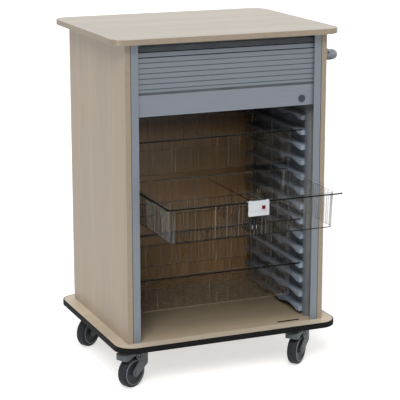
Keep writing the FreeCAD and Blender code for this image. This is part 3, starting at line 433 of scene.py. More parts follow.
def board_looks():
    """The boards, by the way that their grain runs."""
    room = inner_room()
    base_shade_tones = [(room[0].y + back, share) for back, share in BASE_SHADE_TONES]
    return {
        "top": laminate("maple_top", "X", "XY", (201, 193, 180)),
        "side": laminate("maple_side", "Z", "YZ", (177, 161, 141)),
        # the base board: painted shade inside the room, darker towards the back
        "base": laminate("maple_base", "X", "X", (206, 192, 171), ("Y", *room, FLOOR_SHADE_TINT, base_shade_tones)),
        # the back panel: amber painted shade, darkest near the top and darker towards the foot
        "back": laminate("maple_back", "Z", "X", (177, 161, 141), ("Z", *room, BACK_SHADE_TINT, BACK_SHADE_TONES)),
    }


def metal_looks():
    return {
        "track_grey": coated_metal("track_grey", (128, 135, 144)),
        "curtain_grey": coated_metal("curtain_grey", (125, 133, 141), "X", metallic=0.1, roughness=0.45),
        "bar_grey": coated_metal("bar_grey", (131, 137, 147), "X", metallic=0.15, roughness=0.4),
        "bar_lip": coated_metal("bar_lip", (136, 144, 153), "X", metallic=0.15, roughness=0.4),
        "steel": zinc("zinc_steel", (165, 168, 172), roughness=0.32),
        "dark_steel": zinc("dark_steel", (52, 52, 55), roughness=0.4),
        "lock_steel": zinc("lock_steel", (68, 77, 86), roughness=0.3),
    }


def moulded_looks():
    """Plastic, rubber, felt and card."""
    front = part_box("tray_runners_right")[0].y
    runner_shade_tones = [(front + back, share) for back, share in RUNNER_SHADE_TONES]
    finishes = {
        "bumper_black": dict(colour=(18, 18, 19), roughness=0.7, grain=700, gloss=0.12),
        # painted shade: the band at the top of the shutter, the seam over the bar and the lines between the
        # slats
        "shade_band_grey": dict(colour=(88, 92, 97), roughness=0.8, gloss=0.1),
        "slat_line_shade": dict(colour=(84, 89, 94), roughness=0.6, gloss=0.2),
        "slat_gap_shade": dict(colour=(18, 19, 20), roughness=0.7, gloss=0.1),
        # painted shade on the tray runners, darker towards the back
        "ladder_grey": dict(colour=(156, 164, 176), painted_shade=("Y", *inner_room(), RUNNER_SHADE_TINT, runner_shade_tones)),
        # the handle and its elbow carry painted shade on their undersides
        "handle_grey": dict(colour=(154, 164, 174), roughness=0.35, below=(70, 76, 84)),
        "elbow_grey": dict(colour=(152, 162, 170), roughness=0.4, below=(62, 68, 76)),
        "caster_grey": dict(colour=(88, 91, 94), gloss=0.35),
        "pedal_grey": dict(colour=(82, 88, 91), gloss=0.35),
        "tyre_black": dict(colour=(27, 31, 37), roughness=0.6, grain=500, depth=0.08 * MM, gloss=0.3),
        "hub_grey": dict(colour=(34, 37, 41), gloss=0.3),
        "ring_grey": dict(colour=(118, 124, 132), roughness=0.4),
        # painted shade round the brake pins
        "recess_shade": dict(colour=(20, 21, 22), roughness=0.8, gloss=0.1),
        "label_white": dict(colour=(210, 213, 216), grain=400, depth=0.02 * MM, spread=0.02),
        "fold_grey": dict(colour=(170, 172, 178), roughness=0.6),
        "mark_red": dict(
            colour=(112, 2, 24), roughness=0.6, grain=400, depth=0.02 * MM, spread=0.04, gloss=0.1
        ),
        # painted shadow in the gaps beside the tracks
        "gap_shadow_dark": dict(colour=(44, 44, 44), roughness=0.7, gloss=0.1),
        "felt_olive": dict(colour=(132, 134, 128), roughness=0.9, grain=1600, depth=0.2 * MM, gloss=0.1),
    }
    return {name: moulded(name, **finish) for name, finish in finishes.items()}


def clear_looks():
    """The trays' clear plastic, and copies of it that paint the shade and light on its edges, ribs and
    curves.
    """
    amber = (140, 120, 92)
    finishes = {
        "clear_plastic": dict(dark=amber, pale=amber, least=0.008, most=0.03),
        # near black: painted shade of the clear edges
        "clear_edge_shade": dict(dark=(8, 8, 8), pale=(16, 16, 16), least=0.92, most=0.98, gloss=0.1),
        # pale: painted light on the trays' right side
        "clear_side_light": dict(dark=(150, 154, 156), pale=(190, 192, 194), least=0.1, most=0.25),
        # painted shade of the walls' upper edge on the right
        "clear_mouth_shade": dict(dark=(20, 24, 26), pale=(40, 44, 46), least=0.7, most=0.9),
        # painted shade of the walls' upper edge
        "clear_line": dict(dark=(44, 46, 48), pale=(96, 100, 104), least=0.35, most=0.65),
        "clear_wall": dict(dark=(70, 72, 74), pale=(166, 166, 160), least=0.1, most=0.4, streak=60),
        # pale: painted highlight on the bottom tray's foot
        "clear_glint": dict(dark=(120, 104, 84), pale=(176, 158, 132), least=0.3, most=0.6),
        # brown: painted shade of the floor seen through the bottom tray
        "clear_bed_shade": dict(dark=(60, 48, 35), pale=(78, 63, 45), least=0.5, most=0.7, streak=62),
        # near black: painted shadow of the label on the tray's wall
        "clear_label_shadow": dict(dark=(10, 12, 16), pale=(26, 29, 34), least=0.75, most=0.9, gloss=0.1),
        "clear_corner": dict(dark=(62, 66, 64), pale=(146, 148, 140), least=0.08, most=0.5, streak=90),
        # the walls' flutes, stripes, ribs and slots: painted highlights and shade
        "clear_slot": dict(dark=(110, 94, 72), pale=(168, 152, 126), least=0.2, most=0.46, streak=62),
        "clear_flute": dict(
            dark=(34, 30, 26), pale=(164, 162, 156), least=0.1, most=0.4, streak=62, reach=0.03
        ),
        "clear_stripe": dict(
            dark=(22, 25, 28), pale=(120, 126, 130), least=0.1, most=0.6, streak=62, reach=0.03
        ),
        "clear_rib": dict(dark=(22, 17, 13), pale=(46, 37, 28), least=0.5, most=0.8, streak=40, reach=0.2),
    }
    return {name: clear_plastic(name, **finish) for name, finish in finishes.items()}


def dress_nodes(looks):
    """Gives each CAD node the look of its record slot, and some nodes a look of their own."""
    own_looks = {
        "lock_cylinder": "lock_steel",
        **{f"caster_{caster}_axle": "caster_grey" for caster in CASTERS},
        "top_board": "top",
        "header_shelf": "top",
        "side_panel_left": "side",
        "side_panel_right": "side",
        "base_board": "base",
        "back_panel": "back",
    }
    for part in frame["record"]["subparts"]:
        node = frame["nodes"][part["node"]]
        look = looks[own_looks.get(part["node"], part["material_slot"])]
        node.data.materials.clear()
        node.data.materials.append(look)
        if part["material_slot"] == "clear_plastic":
            let_light_through(node)


# ---- making pieces -----------------------------------------------------------------------------


def let_light_through(piece):
    """Clear plastic neither casts a shadow nor stops the light that other pieces give off."""
    piece.visible_shadow = False
    piece.visible_diffuse = False


def finish_piece(name, mesh, body, slot, *looks):
    """Turns a bmesh into an object that rides on a body. Its faces' indices choose among the looks."""
    data = bpy.data.meshes.new(name)
    bmesh.ops.recalc_face_normals(mesh, faces=mesh.faces)
    mesh.to_mesh(data)
    mesh.free()
    piece = bpy.data.objects.new(name, data)
    bpy.context.scene.collection.objects.link(piece)
    for look in looks:
        data.materials.append(look)
    data.shade_smooth()
    data.set_sharp_from_angle(angle=math.radians(SMOOTH_ANGLE))
    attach(piece, body)
    if slot == "clear_plastic":
        let_light_through(piece)
    return piece


def look_beyond(mesh, axis, place, index):
    """Gives the faces beyond a place on an axis (0 is X, 1 is Y) the look of an index."""
    for face in mesh.faces:
        if face.calc_center_median()[axis] > place:
            face.material_index = index


def rounded_loop(low, high, radius, steps=6):
    """Points and outward directions along a rectangle with round corners, in XY."""
    loop = []
    corners = ((high.x, low.y, -90), (high.x, high.y, 0), (low.x, high.y, 90), (low.x, low.y, 180))
    middle = (low + high) / 2
    for x, y, start in corners:
        centre_x = x - math.copysign(radius, x - middle.x)
        centre_y = y - math.copysign(radius, y - middle.y)
        for k in range(steps + 1):
            angle = math.radians(start + 90 * k / steps)
            out = Vector((math.cos(angle), math.sin(angle), 0))
            loop.append((Vector((centre_x, centre_y, 0)) + out * radius, out))
    return loop


def raised(height, *points):
    """A section of (outward, up) points in millimetres, up from a height."""
    return [(across * MM, height + up * MM) for across, up in points]


def sweep(mesh, loop, section):
    """Carries a closed section of (outward, up) points round a closed loop."""
    rings = [
        [mesh.verts.new(point + out * across + Vector((0, 0, up))) for across, up in section]
        for point, out in loop
    ]
    count = len(section)
    for k, ring in enumerate(rings):
        after = rings[(k + 1) % len(rings)]
        for j in range(count):
            mesh.faces.new((ring[j], ring[(j + 1) % count], after[(j + 1) % count], after[j]))


def lathe(mesh, outline, matrix, steps=40):
    """Turns an open (radius, along) outline round the local Y axis of a matrix."""
    rings = []
    for k in range(steps):
        angle = 2 * math.pi * k / steps
        spoke = Vector((math.cos(angle), 0, math.sin(angle)))
        rings.append(
            [mesh.verts.new(matrix @ (spoke * radius + Vector((0, along, 0)))) for radius, along in outline]
        )
    for k, ring in enumerate(rings):
        after = rings[(k + 1) % steps]
        for j in range(len(outline) - 1):
            mesh.faces.new((ring[j], ring[j + 1], after[j + 1], after[j]))


def block(mesh, low, high, bevel=0.0):
    """A box between two corners, with its edges rounded off."""
    made = bmesh.ops.create_cube(mesh, size=1)["verts"]
    size, middle = high - low, (low + high) / 2
    for vert in made:
        vert.co = Vector([vert.co[k] * size[k] + middle[k] for k in range(3)])
    if bevel:
        edges = list({edge for vert in made for edge in vert.link_edges})
        bmesh.ops.bevel(mesh, geom=edges, offset=bevel, segments=2, profile=0.5, affect="EDGES")


def make_block(name, low, high, body, slot, look, bevel=0.0):
    """One block as a piece."""
    mesh = bmesh.new()
    block(mesh, low, high, bevel)
    finish_piece(name, mesh, body, slot, look)


def soften(node, width, slot, look):
    """A copy of a CAD node with rounded edges, which stands for it."""
    mesh = bmesh.new()
    mesh.from_mesh(frame["nodes"][node].data)
    bmesh.ops.remove_doubles(mesh, verts=mesh.verts, dist=1e-6)
    bmesh.ops.dissolve_limit(mesh, angle_limit=math.radians(1), verts=mesh.verts, edges=mesh.edges)
    piece = finish_piece(f"{node}_rounded", mesh, frame["nodes"][node]["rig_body"], slot, look)
    bevel = piece.modifiers.new("edges", "BEVEL")
    bevel.width = width
    bevel.segments = 2
    bevel.limit_method = "ANGLE"
    bevel.angle_limit = math.radians(ROUND_EDGE_ANGLE)
    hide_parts(node)


# ---- camera, stage and light ---------------------------------------------------------------------


def make_camera():
    camera = bpy.data.objects.new("camera", bpy.data.cameras.new("camera"))
    bpy.context.scene.collection.objects.link(camera)
    camera.location = CAMERA_PLACE
    camera.rotation_euler = (math.pi / 2 - CAMERA_PITCH, 0, -CAMERA_YAW)
    camera.data.lens = CAMERA_LENS
    camera.data.clip_end = CAMERA_REACH
    bpy.context.scene.camera = camera


def seen_directly(tree):
    """1 for rays that show the background: from the camera, in gloss and through glass."""
    path = tree.nodes.new("ShaderNodeLightPath")
    total = path.outputs["Is Camera Ray"]
    for name in ("Is Glossy Ray", "Is Transmission Ray"):
        widest = tree.nodes.new("ShaderNodeMath")
        widest.operation = "MAXIMUM"
        tree.links.new(total, widest.inputs[0])
        tree.links.new(path.outputs[name], widest.inputs[1])
        total = widest.outputs[0]
    return total


def make_world():
    """A white background that lights the object at the ambient level only."""
    world = bpy.data.worlds.new("studio")
    bpy.context.scene.world = world
    world.use_nodes = True
    tree = world.node_tree
    level = tree.nodes.new("ShaderNodeMapRange")
    level.inputs["To Min"].default_value = AMBIENT
    level.inputs["To Max"].default_value = 1.0
    tree.links.new(seen_directly(tree), level.inputs["Value"])
    background = tree.nodes["Background"]
    background.inputs["Color"].default_value = (1, 1, 1, 1)
    tree.links.new(level.outputs["Result"], background.inputs["Strength"])


def floor_material():
    """A pale matt surface, which takes the shadow, with a glow that makes it white to those who see it."""
    material = bpy.data.materials.new("floor_white")
    material.use_nodes = True
    tree = material.node_tree
    shader = tree.nodes["Principled BSDF"]
    shader.inputs["Base Color"].default_value = (0.8, 0.8, 0.8, 1)
    shader.inputs["Roughness"].default_value = 0.9
    shader.inputs["Specular IOR Level"].default_value = 0.0
    glow = tree.nodes.new("ShaderNodeEmission")
    glow.inputs["Color"].default_value = (1, 1, 1, 1)
    strength = tree.nodes.new("ShaderNodeMath")
    strength.operation = "MULTIPLY"
    strength.inputs[1].default_value = FLOOR_GLOW
    tree.links.new(seen_directly(tree), strength.inputs[0])
    tree.links.new(strength.outputs[0], glow.inputs["Strength"])
    total = tree.nodes.new("ShaderNodeAddShader")
    tree.links.new(shader.outputs[0], total.inputs[0])
    tree.links.new(glow.outputs[0], total.inputs[1])
    tree.links.new(total.outputs[0], tree.nodes["Material Output"].inputs["Surface"])
    return material


def make_floor():
    """A wide disc, just below the tyres."""
    mesh = bmesh.new()
    bmesh.ops.create_circle(mesh, cap_ends=True, radius=FLOOR_RADIUS, segments=48)
    data = bpy.data.meshes.new("floor")
    mesh.to_mesh(data)
    mesh.free()
    data.materials.append(floor_material())
    floor = bpy.data.objects.new("floor", data)
    bpy.context.scene.collection.objects.link(floor)
    floor.location.z = -FLOOR_DROP


def make_lamp(name, direction, strength, softness):
    """A soft, distant lamp that shines from a direction; its softness is its width in degrees."""
    lamp = bpy.data.lights.new(name, "SUN")
    lamp.energy = strength
    lamp.angle = math.radians(softness)
    holder = bpy.data.objects.new(name, lamp)
    bpy.context.scene.collection.objects.link(holder)
    holder.rotation_euler = Vector(direction).to_track_quat("Z", "Y").to_euler()


# ---- trays -------------------------------------------------------------------------------------


def tray_loop(node, inset, radius, steps=6):
    """A rounded loop round a tray, by its distance in from the flange's edge."""
    low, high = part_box(node)
    edge = Vector((inset, inset, 0))
    return rounded_loop(low + edge, high - edge, radius, steps)


def finish_tray_piece(node, detail, mesh, *looks):
    """Turns a bmesh into a clear detail of a tray."""
    finish_piece(f"{node}_{detail}", mesh, frame["nodes"][node]["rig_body"], "clear_plastic", *looks)


def make_tray_rim(node, looks):
    """The rolled edge round the flange, in painted shade and light: dark in front and on the left, faint on
    the right, brown behind.
    """
    _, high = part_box(node)
    inset, near_edge = 0.4 * MM, 4 * MM
    root, shoulder, crest, outer = 0.1, 0.5, 1.2, 0.7
    skirt = 0.2 - TRAY_LIP / MM
    curve = (-1.9, root), (-1.3, crest), (0.2, crest), (outer, shoulder)
    lip = (outer, skirt), (0.0, skirt), (0.0, root)
    mesh = bmesh.new()
    sweep(mesh, tray_loop(node, inset, TRAY_RIM_CORNER - inset), raised(high.z, *curve, *lip))
    look_beyond(mesh, 0, high.x - near_edge, 1)
    look_beyond(mesh, 1, high.y - near_edge, 2)
    finish_tray_piece(node, "rim", mesh, looks["clear_edge_shade"], looks["clear_side_light"], looks["clear_rib"])


def make_tray_band(node, looks):
    """A band of painted shade on the top of the flange, in front and on the left."""
    low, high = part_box(node)
    end, thick, bevel = 1.5 * MM, Vector((0, 0, 0.35 * MM)), 0.08 * MM
    start = Vector((low.x + end, low.y + end, high.z + 0.02 * MM))
    front_end = Vector((high.x - end, start.y + FLANGE_BAND_FRONT, start.z))
    side_end = Vector((start.x + FLANGE_BAND_SIDE, high.y - end, start.z))
    mesh = bmesh.new()
    block(mesh, start, front_end + thick, bevel)
    block(mesh, start + Vector((0, FLANGE_BAND_FRONT, 0)), side_end + thick, bevel)
    finish_tray_piece(node, "flange", mesh, looks["clear_edge_shade"])


def make_tray_mouth(node, looks):
    """The upper edge of the walls, inside the flange: a fine line of painted shade, darker on the right."""
    _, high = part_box(node)
    middle, crest = TRAY_WALL / 2, 1.0
    section = raised(high.z, (-0.9, 0.05), (-0.6, crest), (0.6, crest), (0.9, 0.05))
    mesh = bmesh.new()
    sweep(mesh, tray_loop(node, TRAY_FLANGE + middle, TRAY_WALL_CORNER - middle), section)
    look_beyond(mesh, 0, high.x - TRAY_FLANGE - 3 * MM, 1)
    finish_tray_piece(node, "mouth", mesh, looks["clear_line"], looks["clear_mouth_shade"])


def make_tray_skin(node, looks):
    """The skin of the side walls and the round corners, which catch more light than the rest."""
    low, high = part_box(node)
    steps = 4
    levels = (
        (TRAY_FLANGE, TRAY_WALL_CORNER, high.z - TRAY_LIP - WALL_TOP_GAP),
        (TRAY_FLANGE + TRAY_INSET, TRAY_FOOT_CORNER, low.z + WALL_FOOT_GAP),
    )
    mesh = bmesh.new()
    rings = []
    for inset, radius, z in levels:
        loop = tray_loop(node, inset - SKIN_PROUD, radius + SKIN_PROUD, steps)
        rings.append([mesh.verts.new((point.x, point.y, z)) for point, _ in loop])
    upper, lower = rings
    for k, vert in enumerate(upper):
        after = (k + 1) % len(upper)
        corner = after % (steps + 1) != 0
        side_wall = abs(vert.co.x - upper[after].co.x) < MM
        if corner or side_wall:
            face = mesh.faces.new((vert, upper[after], lower[after], lower[k]))
            face.material_index = int(corner)
    finish_tray_piece(node, "skin", mesh, looks["clear_wall"], looks["clear_corner"])


def add_flutes(mesh, node, across, pitch, half_wide, proud, drop):
    """Upright flutes on one wall of a tray, evenly about its middle; across points out of the tray.

    They start below the flange by the drop.
    """
    low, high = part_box(node)
    middle = (low + high) / 2
    along = Vector((abs(across.y), abs(across.x), 0))
    reach = (high - middle).dot(Vector((abs(across.x), abs(across.y), 0))) - TRAY_FLANGE + SKIN_PROUD
    room = (high - low).dot(along) - 2 * (TRAY_FLANGE + TRAY_WALL_CORNER)
    count = int(room // pitch) + 1
    slope = TRAY_INSET / (high.z - TRAY_LIP - low.z)
    ends = (
        (reach - slope * drop, high.z - TRAY_LIP - drop),
        (reach - TRAY_INSET, low.z + WALL_FOOT_GAP),
    )
    profile = ((-1, 0.0), (-0.5, proud), (0.5, proud), (1, 0.0))
    for k in range(count):
        centre = along * (pitch * (k - (count - 1) / 2))
        rows = []
        for out, z in ends:
            wall = Vector((middle.x, middle.y, z)) + across * out + centre
            section = [wall + along * half_wide * side + across * up for side, up in profile]
            rows.append([mesh.verts.new(point) for point in section])
        upper, lower = rows
        for j in range(len(profile) - 1):
            mesh.faces.new((upper[j], upper[j + 1], lower[j + 1], lower[j]))


def make_tray_flutes(node, looks):
    """Flutes in front and on the left, broad stripes on the right, and dark ribs and pale slots behind. Their
    streaks are painted highlights and shade; the ribs' dark brown is painted shade, the slots' pale brown
    painted light.
    """
    half_wide = OPEN_FLUTE_HALF if node == "tray_open" else FLUTE_HALF
    families = (
        ("flutes", "clear_flute", (FRONT, LEFT), FLUTE_PITCH, half_wide, FLUTE_PROUD, WALL_TOP_GAP),
        ("stripes", "clear_stripe", (RIGHT,), FLUTE_PITCH, STRIPE_HALF, FLUTE_PROUD, WALL_TOP_GAP),
        ("ribs", "clear_rib", (BACK,), RIB_PITCH, RIB_HALF, RIB_PROUD, WALL_TOP_GAP),
        ("slots", "clear_slot", (BACK,), SLOT_PITCH, SLOT_HALF, SLOT_PROUD, SLOT_DROP),
    )
    for detail, look, walls, *sizes in families:
        mesh = bmesh.new()
        for across in walls:
            add_flutes(mesh, node, across, *sizes)
        finish_tray_piece(node, detail, mesh, looks[look])


def make_tray_foot(node, looks):
    """The bead round the underside, which shows as a thin line in front and on the left: painted shade, and a
    painted highlight on the bottom tray; on the right it is painted light.
    """
    low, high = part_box(node)
    inset = TRAY_FLANGE + TRAY_INSET
    tall = (OPEN_FOOT_TALL if node == "tray_open" else FOOT_TALL) / MM
    section = raised(low.z, (0.4, 0.3), (0.6, 0.9), (0.3, tall), (-0.3, tall - 0.2), (-0.3, 0.4))
    mesh = bmesh.new()
    sweep(mesh, tray_loop(node, inset, TRAY_FOOT_CORNER), section)
    look_beyond(mesh, 0, high.x - inset - 2 * MM, 1)
    look = looks["clear_glint" if node == "tray_bottom" else "clear_edge_shade"]
    finish_tray_piece(node, "foot", mesh, look, looks["clear_side_light"])


def make_tray_bed(node, looks):
    """A brown sheet on the inside of a tray's floor: painted shade of the floor that shows through it."""
    low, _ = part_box(node)
    floor = low.z + TRAY_WALL + 0.1 * MM
    loop = tray_loop(node, TRAY_FLANGE + TRAY_INSET + TRAY_WALL, BED_CORNER)
    mesh = bmesh.new()
    mesh.faces.new([mesh.verts.new((point.x, point.y, floor)) for point, _ in loop])
    finish_tray_piece(node, "bed", mesh, looks["clear_bed_shade"])


def make_divider_edge(looks):
    """The top edge of the divider, which shows as a dark line of painted shade."""
    low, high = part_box("tray_divider")
    proud, end, drop, rise = 0.5 * MM, 1 * MM, 1 * MM, 0.6 * MM
    near = Vector((low.x - proud, low.y + end, high.z - drop))
    far = Vector((high.x + proud, high.y - end, high.z + rise))
    body = frame["nodes"]["tray_divider"]["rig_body"]
    make_block("divider_edge", near, far, body, "clear_plastic", looks["clear_edge_shade"], bevel=0.1 * MM)


def make_label_fold(looks):
    """The fold of the plain card in the holder."""
    low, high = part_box("label_holder")
    margin, front, back = 3 * MM, -0.35 * MM, -0.05 * MM
    z = low.z + (high.z - low.z) * FOLD_SHARE
    near = Vector((low.x + margin, low.y + front, z))
    far = Vector((high.x - margin, low.y + back, z + FOLD_TALL))
    make_block("label_fold", near, far, "tray_open_body", "label_white", looks["fold_grey"])


def make_label_clips(looks):
    """The two clips that hold the card at its top, and the four at its sides."""
    low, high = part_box("label_holder")
    front, back = low.y + 0.1 * MM, low.y + 1.8 * MM
    mesh = bmesh.new()
    for x in (low.x + CLIP_INSET, high.x - CLIP_INSET):
        near = Vector((x - CLIP_HALF, front, high.z - CLIP_OVERLAP))
        block(mesh, near, Vector((x + CLIP_HALF, back, high.z + CLIP_RISE)), bevel=0.4 * MM)
    for x in (low.x, high.x):
        for z in (low.z + SIDE_CLIP_FROM_FOOT, high.z - SIDE_CLIP_FROM_TOP):
            near = Vector((x - SIDE_CLIP_HALF, front, z))
            block(mesh, near, Vector((x + SIDE_CLIP_HALF, back, z + SIDE_CLIP_TALL)), bevel=0.3 * MM)
    finish_piece("label_clips", mesh, "tray_open_body", "label_white", looks["label_white"])


def make_label_shadow_patch(looks):
    """A dark patch that lies on the tray's wall under the holder: painted shadow of the label. With it go two
    pale pins.
    """
    low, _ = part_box("label_holder")
    tray_low, tray_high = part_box("tray_open")
    foot = low.z - LABEL_SHADOW_DROP
    share = (tray_high.z - foot) / (tray_high.z - tray_low.z)
    wall_y = tray_low.y + TRAY_FLANGE + TRAY_INSET * share
    near = Vector((low.x + LABEL_SHADOW_LEFT, wall_y - LABEL_SHADOW_FRONT, foot))
    far = Vector((low.x + LABEL_SHADOW_RIGHT, wall_y - LABEL_SHADOW_BACK, low.z + LABEL_SHADOW_RISE))
    make_block("label_shadow_patch", near, far, "tray_open_body", "clear_plastic", looks["clear_label_shadow"], bevel=0.2 * MM)
    pins = bmesh.new()
    for place in PIN_PLACES:
        x = low.x + place
        near = Vector((x - PIN_HALF, wall_y - PIN_FRONT, foot + PIN_FOOT))
        block(pins, near, Vector((x + PIN_HALF, wall_y - PIN_BACK, foot + PIN_TOP)), bevel=0.3 * MM)
    finish_piece("label_pins", pins, "tray_open_body", "label_white", looks["label_white"])


def make_trays(looks):
    for node in TRAYS:
        make_tray_rim(node, looks)
        make_tray_band(node, looks)
        make_tray_mouth(node, looks)
        make_tray_flutes(node, looks)
        make_tray_foot(node, looks)
    make_tray_bed("tray_bottom", looks)
    make_tray_skin("tray_open", looks)
    make_divider_edge(looks)
    make_label_fold(looks)
    make_label_clips(looks)
    make_label_shadow_patch(looks)


# ---- casters -----------------------------------------------------------------------------------


def caster_frame(caster, detail):
    """The matrix at the middle of a caster's node: local Y along its axle, local X along its trail."""
    low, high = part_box(f"caster_{caster}_{detail}")
    return Matrix.Translation((low + high) / 2) @ Matrix.Rotation(math.radians(CASTERS[caster]), 4, "Z")


def make_wheel_details(caster, looks):
    """The pale ring between tyre and hub, and the hub cap inside it."""
    matrix = caster_frame(caster, "hub")
    low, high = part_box(f"caster_{caster}_tyre")
    rim = (high.z - low.z) / 2 - TYRE_THICK
    ring = bmesh.new()
    cap = bmesh.new()
    for side in (-1, 1):
        outline = [
            (rim - 1.6 * MM, side * (WHEEL_FACE - 0.2 * MM)),
            (rim - 1.2 * MM, side * (WHEEL_FACE + 0.7 * MM)),
            (rim + 0.6 * MM, side * (WHEEL_FACE + 0.8 * MM)),
            (rim + 1.2 * MM, side * (WHEEL_FACE - 0.2 * MM)),
        ]
        lathe(ring, outline, matrix)
        outline = [
            (6 * MM, side * (WHEEL_FACE + 1.4 * MM)),
            (10 * MM, side * (WHEEL_FACE + 1.4 * MM)),
            (12 * MM, side * (WHEEL_FACE - 1.5 * MM)),
            (20 * MM, side * (WHEEL_FACE - 2.6 * MM)),
            (30 * MM, side * (WHEEL_FACE - 2.2 * MM)),
            (rim - 5 * MM, side * (WHEEL_FACE - 0.5 * MM)),
            (rim - 4 * MM, side * (WHEEL_FACE + 0.3 * MM)),
            (rim - 1.5 * MM, side * (WHEEL_FACE + 0.3 * MM)),
        ]
        lathe(cap, outline, matrix)
    body = f"{caster}_wheel"
    finish_piece(f"caster_{caster}_ring", ring, body, "hub_grey", looks["ring_grey"])
    finish_piece(f"caster_{caster}_cap", cap, body, "hub_grey", looks["hub_grey"])


def make_pin_recess(caster, looks):
    """A dish of painted shade round each end of the brake pin."""
    matrix = caster_frame(caster, "brake_pin")
    mesh = bmesh.new()
    for side in (-1, 1):
        outline = [
            (2.6 * MM, side * (FORK_FACE - 1.0 * MM)),
            (5.9 * MM, side * (FORK_FACE - 1.0 * MM)),
            (6.4 * MM, side * (FORK_FACE + 0.15 * MM)),
        ]
        lathe(mesh, outline, matrix)
    finish_piece(f"caster_{caster}_recess", mesh, f"{caster}_swivel", "caster_grey", looks["recess_shade"])


def make_caster(caster, looks):
    """The details of one caster; only the front ones have a brake."""
    make_wheel_details(caster, looks)
    soften(f"caster_{caster}_fork", FORK_EDGE, "caster_grey", looks["caster_grey"])
    if caster.startswith("front"):
        soften(f"caster_{caster}_brake_pedal", PEDAL_EDGE, "pedal_grey", looks["pedal_grey"])
        make_pin_recess(caster, looks)


# ---- cabinet details ---------------------------------------------------------------------------


def make_strike_liner(looks):
    """The dark cup in the slot of the base board that takes the lock's cam: partly a dark insert, partly
    painted shade in the slot.
    """
    cam_low, cam_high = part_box("lock_cam")
    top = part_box("base_board")[1].z
    middle_y = (cam_low.y + cam_high.y) / 2
    right = cam_high.x + CAM_ROOM
    radius = STRIKE_WIDTH / 2
    low = Vector((right - STRIKE_LENGTH, middle_y - radius, 0))
    high = Vector((right, middle_y + radius, 0))
    loop = rounded_loop(low, high, radius - 0.01 * MM)
    mouth, deep, wall = top + 0.1 * MM, top - STRIKE_DEPTH + 0.2 * MM, 0.4 * MM
    mesh = bmesh.new()
    sweep(mesh, loop, [(0.0, mouth), (-wall, mouth), (-wall, deep), (0.0, deep)])
    floor = [mesh.verts.new(point - out * wall / 2 + Vector((0, 0, deep + 0.1 * MM))) for point, out in loop]
    mesh.faces.new(floor)
    finish_piece("strike_liner", mesh, "cabinet", "bumper_black", looks["slat_gap_shade"])


def make_track_gap_shadows(looks):
    """A dark line of painted shadow in the gap where each track meets the edge of its side panel."""
    half_wide, proud, deep, end = 0.8 * MM, 0.25 * MM, 1.5 * MM, 1 * MM
    for hand in ("left", "right"):
        low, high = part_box(f"track_{hand}")
        x = low.x if hand == "left" else high.x
        near = Vector((x - half_wide, low.y - proud, low.z + end))
        far = Vector((x + half_wide, low.y + deep, high.z - end))
        name = f"track_gap_shadow_{hand}"
        make_block(name, near, far, "cabinet", "track_grey", looks["gap_shadow_dark"], bevel=0.15 * MM)


def make_track_felts(looks):
    """The dark felt that the curtain runs on, along the back of each track's groove."""
    proud, deep, end = 0.5 * MM, 0.2 * MM, 1 * MM
    for hand, side in (("left", 1), ("right", -1)):
        low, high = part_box(f"track_{hand}")
        web = (low.x if hand == "left" else high.x) + side * TRACK_WEB
        edge = web + side * FELT_WIDTH
        back = high.y - TRACK_REAR_LIP
        near = Vector((min(web, edge), back - proud, low.z + end))
        far = Vector((max(web, edge), back + deep, high.z - end))
        name = f"track_felt_{hand}"
        make_block(name, near, far, "cabinet", "track_grey", looks["felt_olive"], bevel=0.2 * MM)


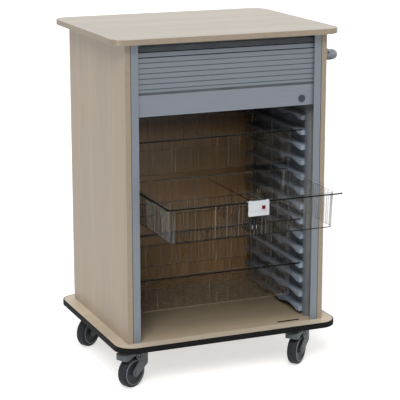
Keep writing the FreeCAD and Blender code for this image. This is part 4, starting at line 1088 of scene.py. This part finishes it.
def make_slat_hinges(looks):
    """Painted shade: the lines between the slats, fine and open, the seam over the bottom bar, and the band
    at the top where the top board's shadow falls.
    """
    low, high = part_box("shutter_slats")
    bar_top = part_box("shutter_bottom_bar")[1].z
    end, deep = 1 * MM, 2.2 * MM
    lines = (
        ("slat_hinges", "slat_line_shade", FINE_HINGES, FINE_HINGE_HALF, -HINGE_SUNK),
        ("slat_gaps", "slat_gap_shade", OPEN_HINGES, OPEN_HINGE_HALF, -HINGE_SUNK),
        ("bar_hinge", "shade_band_grey", (BAR_SEAM_ROW,), BAR_SEAM_HALF, BAR_SEAM_PROUD),
    )
    for name, look, rows, half_tall, proud in lines:
        mesh = bmesh.new()
        for row in rows:
            z = bar_top + SLAT_PITCH * row
            near = Vector((low.x + end, low.y - proud, z - half_tall))
            far = Vector((high.x - end, low.y + deep, z + half_tall))
            block(mesh, near, far, bevel=0.1 * MM)
        finish_piece(name, mesh, "shutter", "curtain_grey", looks[look])
    shadow_foot = bar_top + SLAT_PITCH * OPEN_HINGES[-1] + OPEN_HINGE_HALF
    near = Vector((low.x + end, low.y - TOP_SHADOW_PROUD, shadow_foot))
    far = Vector((high.x - end, low.y + TOP_SHADOW_DEEP, high.z - TOP_SHADOW_DROP))
    make_block("top_shadow_band", near, far, "shutter", "curtain_grey", looks["shade_band_grey"], bevel=0.3 * MM)


def make_bar_lip(looks):
    """The bright drip edge along the foot of the bottom bar."""
    low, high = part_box("shutter_bottom_bar")
    proud, deep = 0.4 * MM, 1 * MM
    near = Vector((low.x + BAR_LIP_INSET, low.y - proud, low.z + BAR_LIP_FOOT))
    far = Vector((high.x - BAR_LIP_INSET, low.y + deep, low.z + BAR_LIP_TOP))
    make_block("bar_lip", near, far, "shutter", "bar_grey", looks["bar_lip"], bevel=0.35 * MM)


def make_lock_face(looks):
    """The bezel round the lock's plug."""
    low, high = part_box("lock_cylinder")
    centre = Vector(((low.x + high.x) / 2, low.y, (low.z + high.z) / 2))
    radius = (high.x - low.x) / 2
    outline = [
        (radius + 0.6 * MM, 1.6 * MM),
        (radius + 0.4 * MM, -0.2 * MM),
        (radius - 1.2 * MM, -0.9 * MM),
        (radius * 0.55, -0.8 * MM),
        (radius * 0.48, -0.05 * MM),
    ]
    mesh = bmesh.new()
    lathe(mesh, outline, Matrix.Translation(centre))
    finish_piece("lock_bezel", mesh, "lock", "steel", looks["lock_steel"])


def make_cabinet_details(looks):
    make_strike_liner(looks)
    make_track_gap_shadows(looks)
    make_track_felts(looks)
    make_slat_hinges(looks)
    make_bar_lip(looks)
    make_lock_face(looks)


# ---- the scene ---------------------------------------------------------------------------------


def make_scene():
    bpy.context.scene.view_settings.view_transform = "Standard"
    make_camera()
    make_world()
    make_floor()
    make_lamp("key", direction=(-0.36, -0.64, 0.68), strength=1.8, softness=25)
    make_lamp("top", direction=(0.1, -0.1, 1.0), strength=0.45, softness=60)
    looks = {**board_looks(), **metal_looks(), **moulded_looks(), **clear_looks()}
    dress_nodes(looks)
    make_trays(looks)
    make_cabinet_details(looks)
    for caster in CASTERS:
        make_caster(caster, looks)


make_scene()
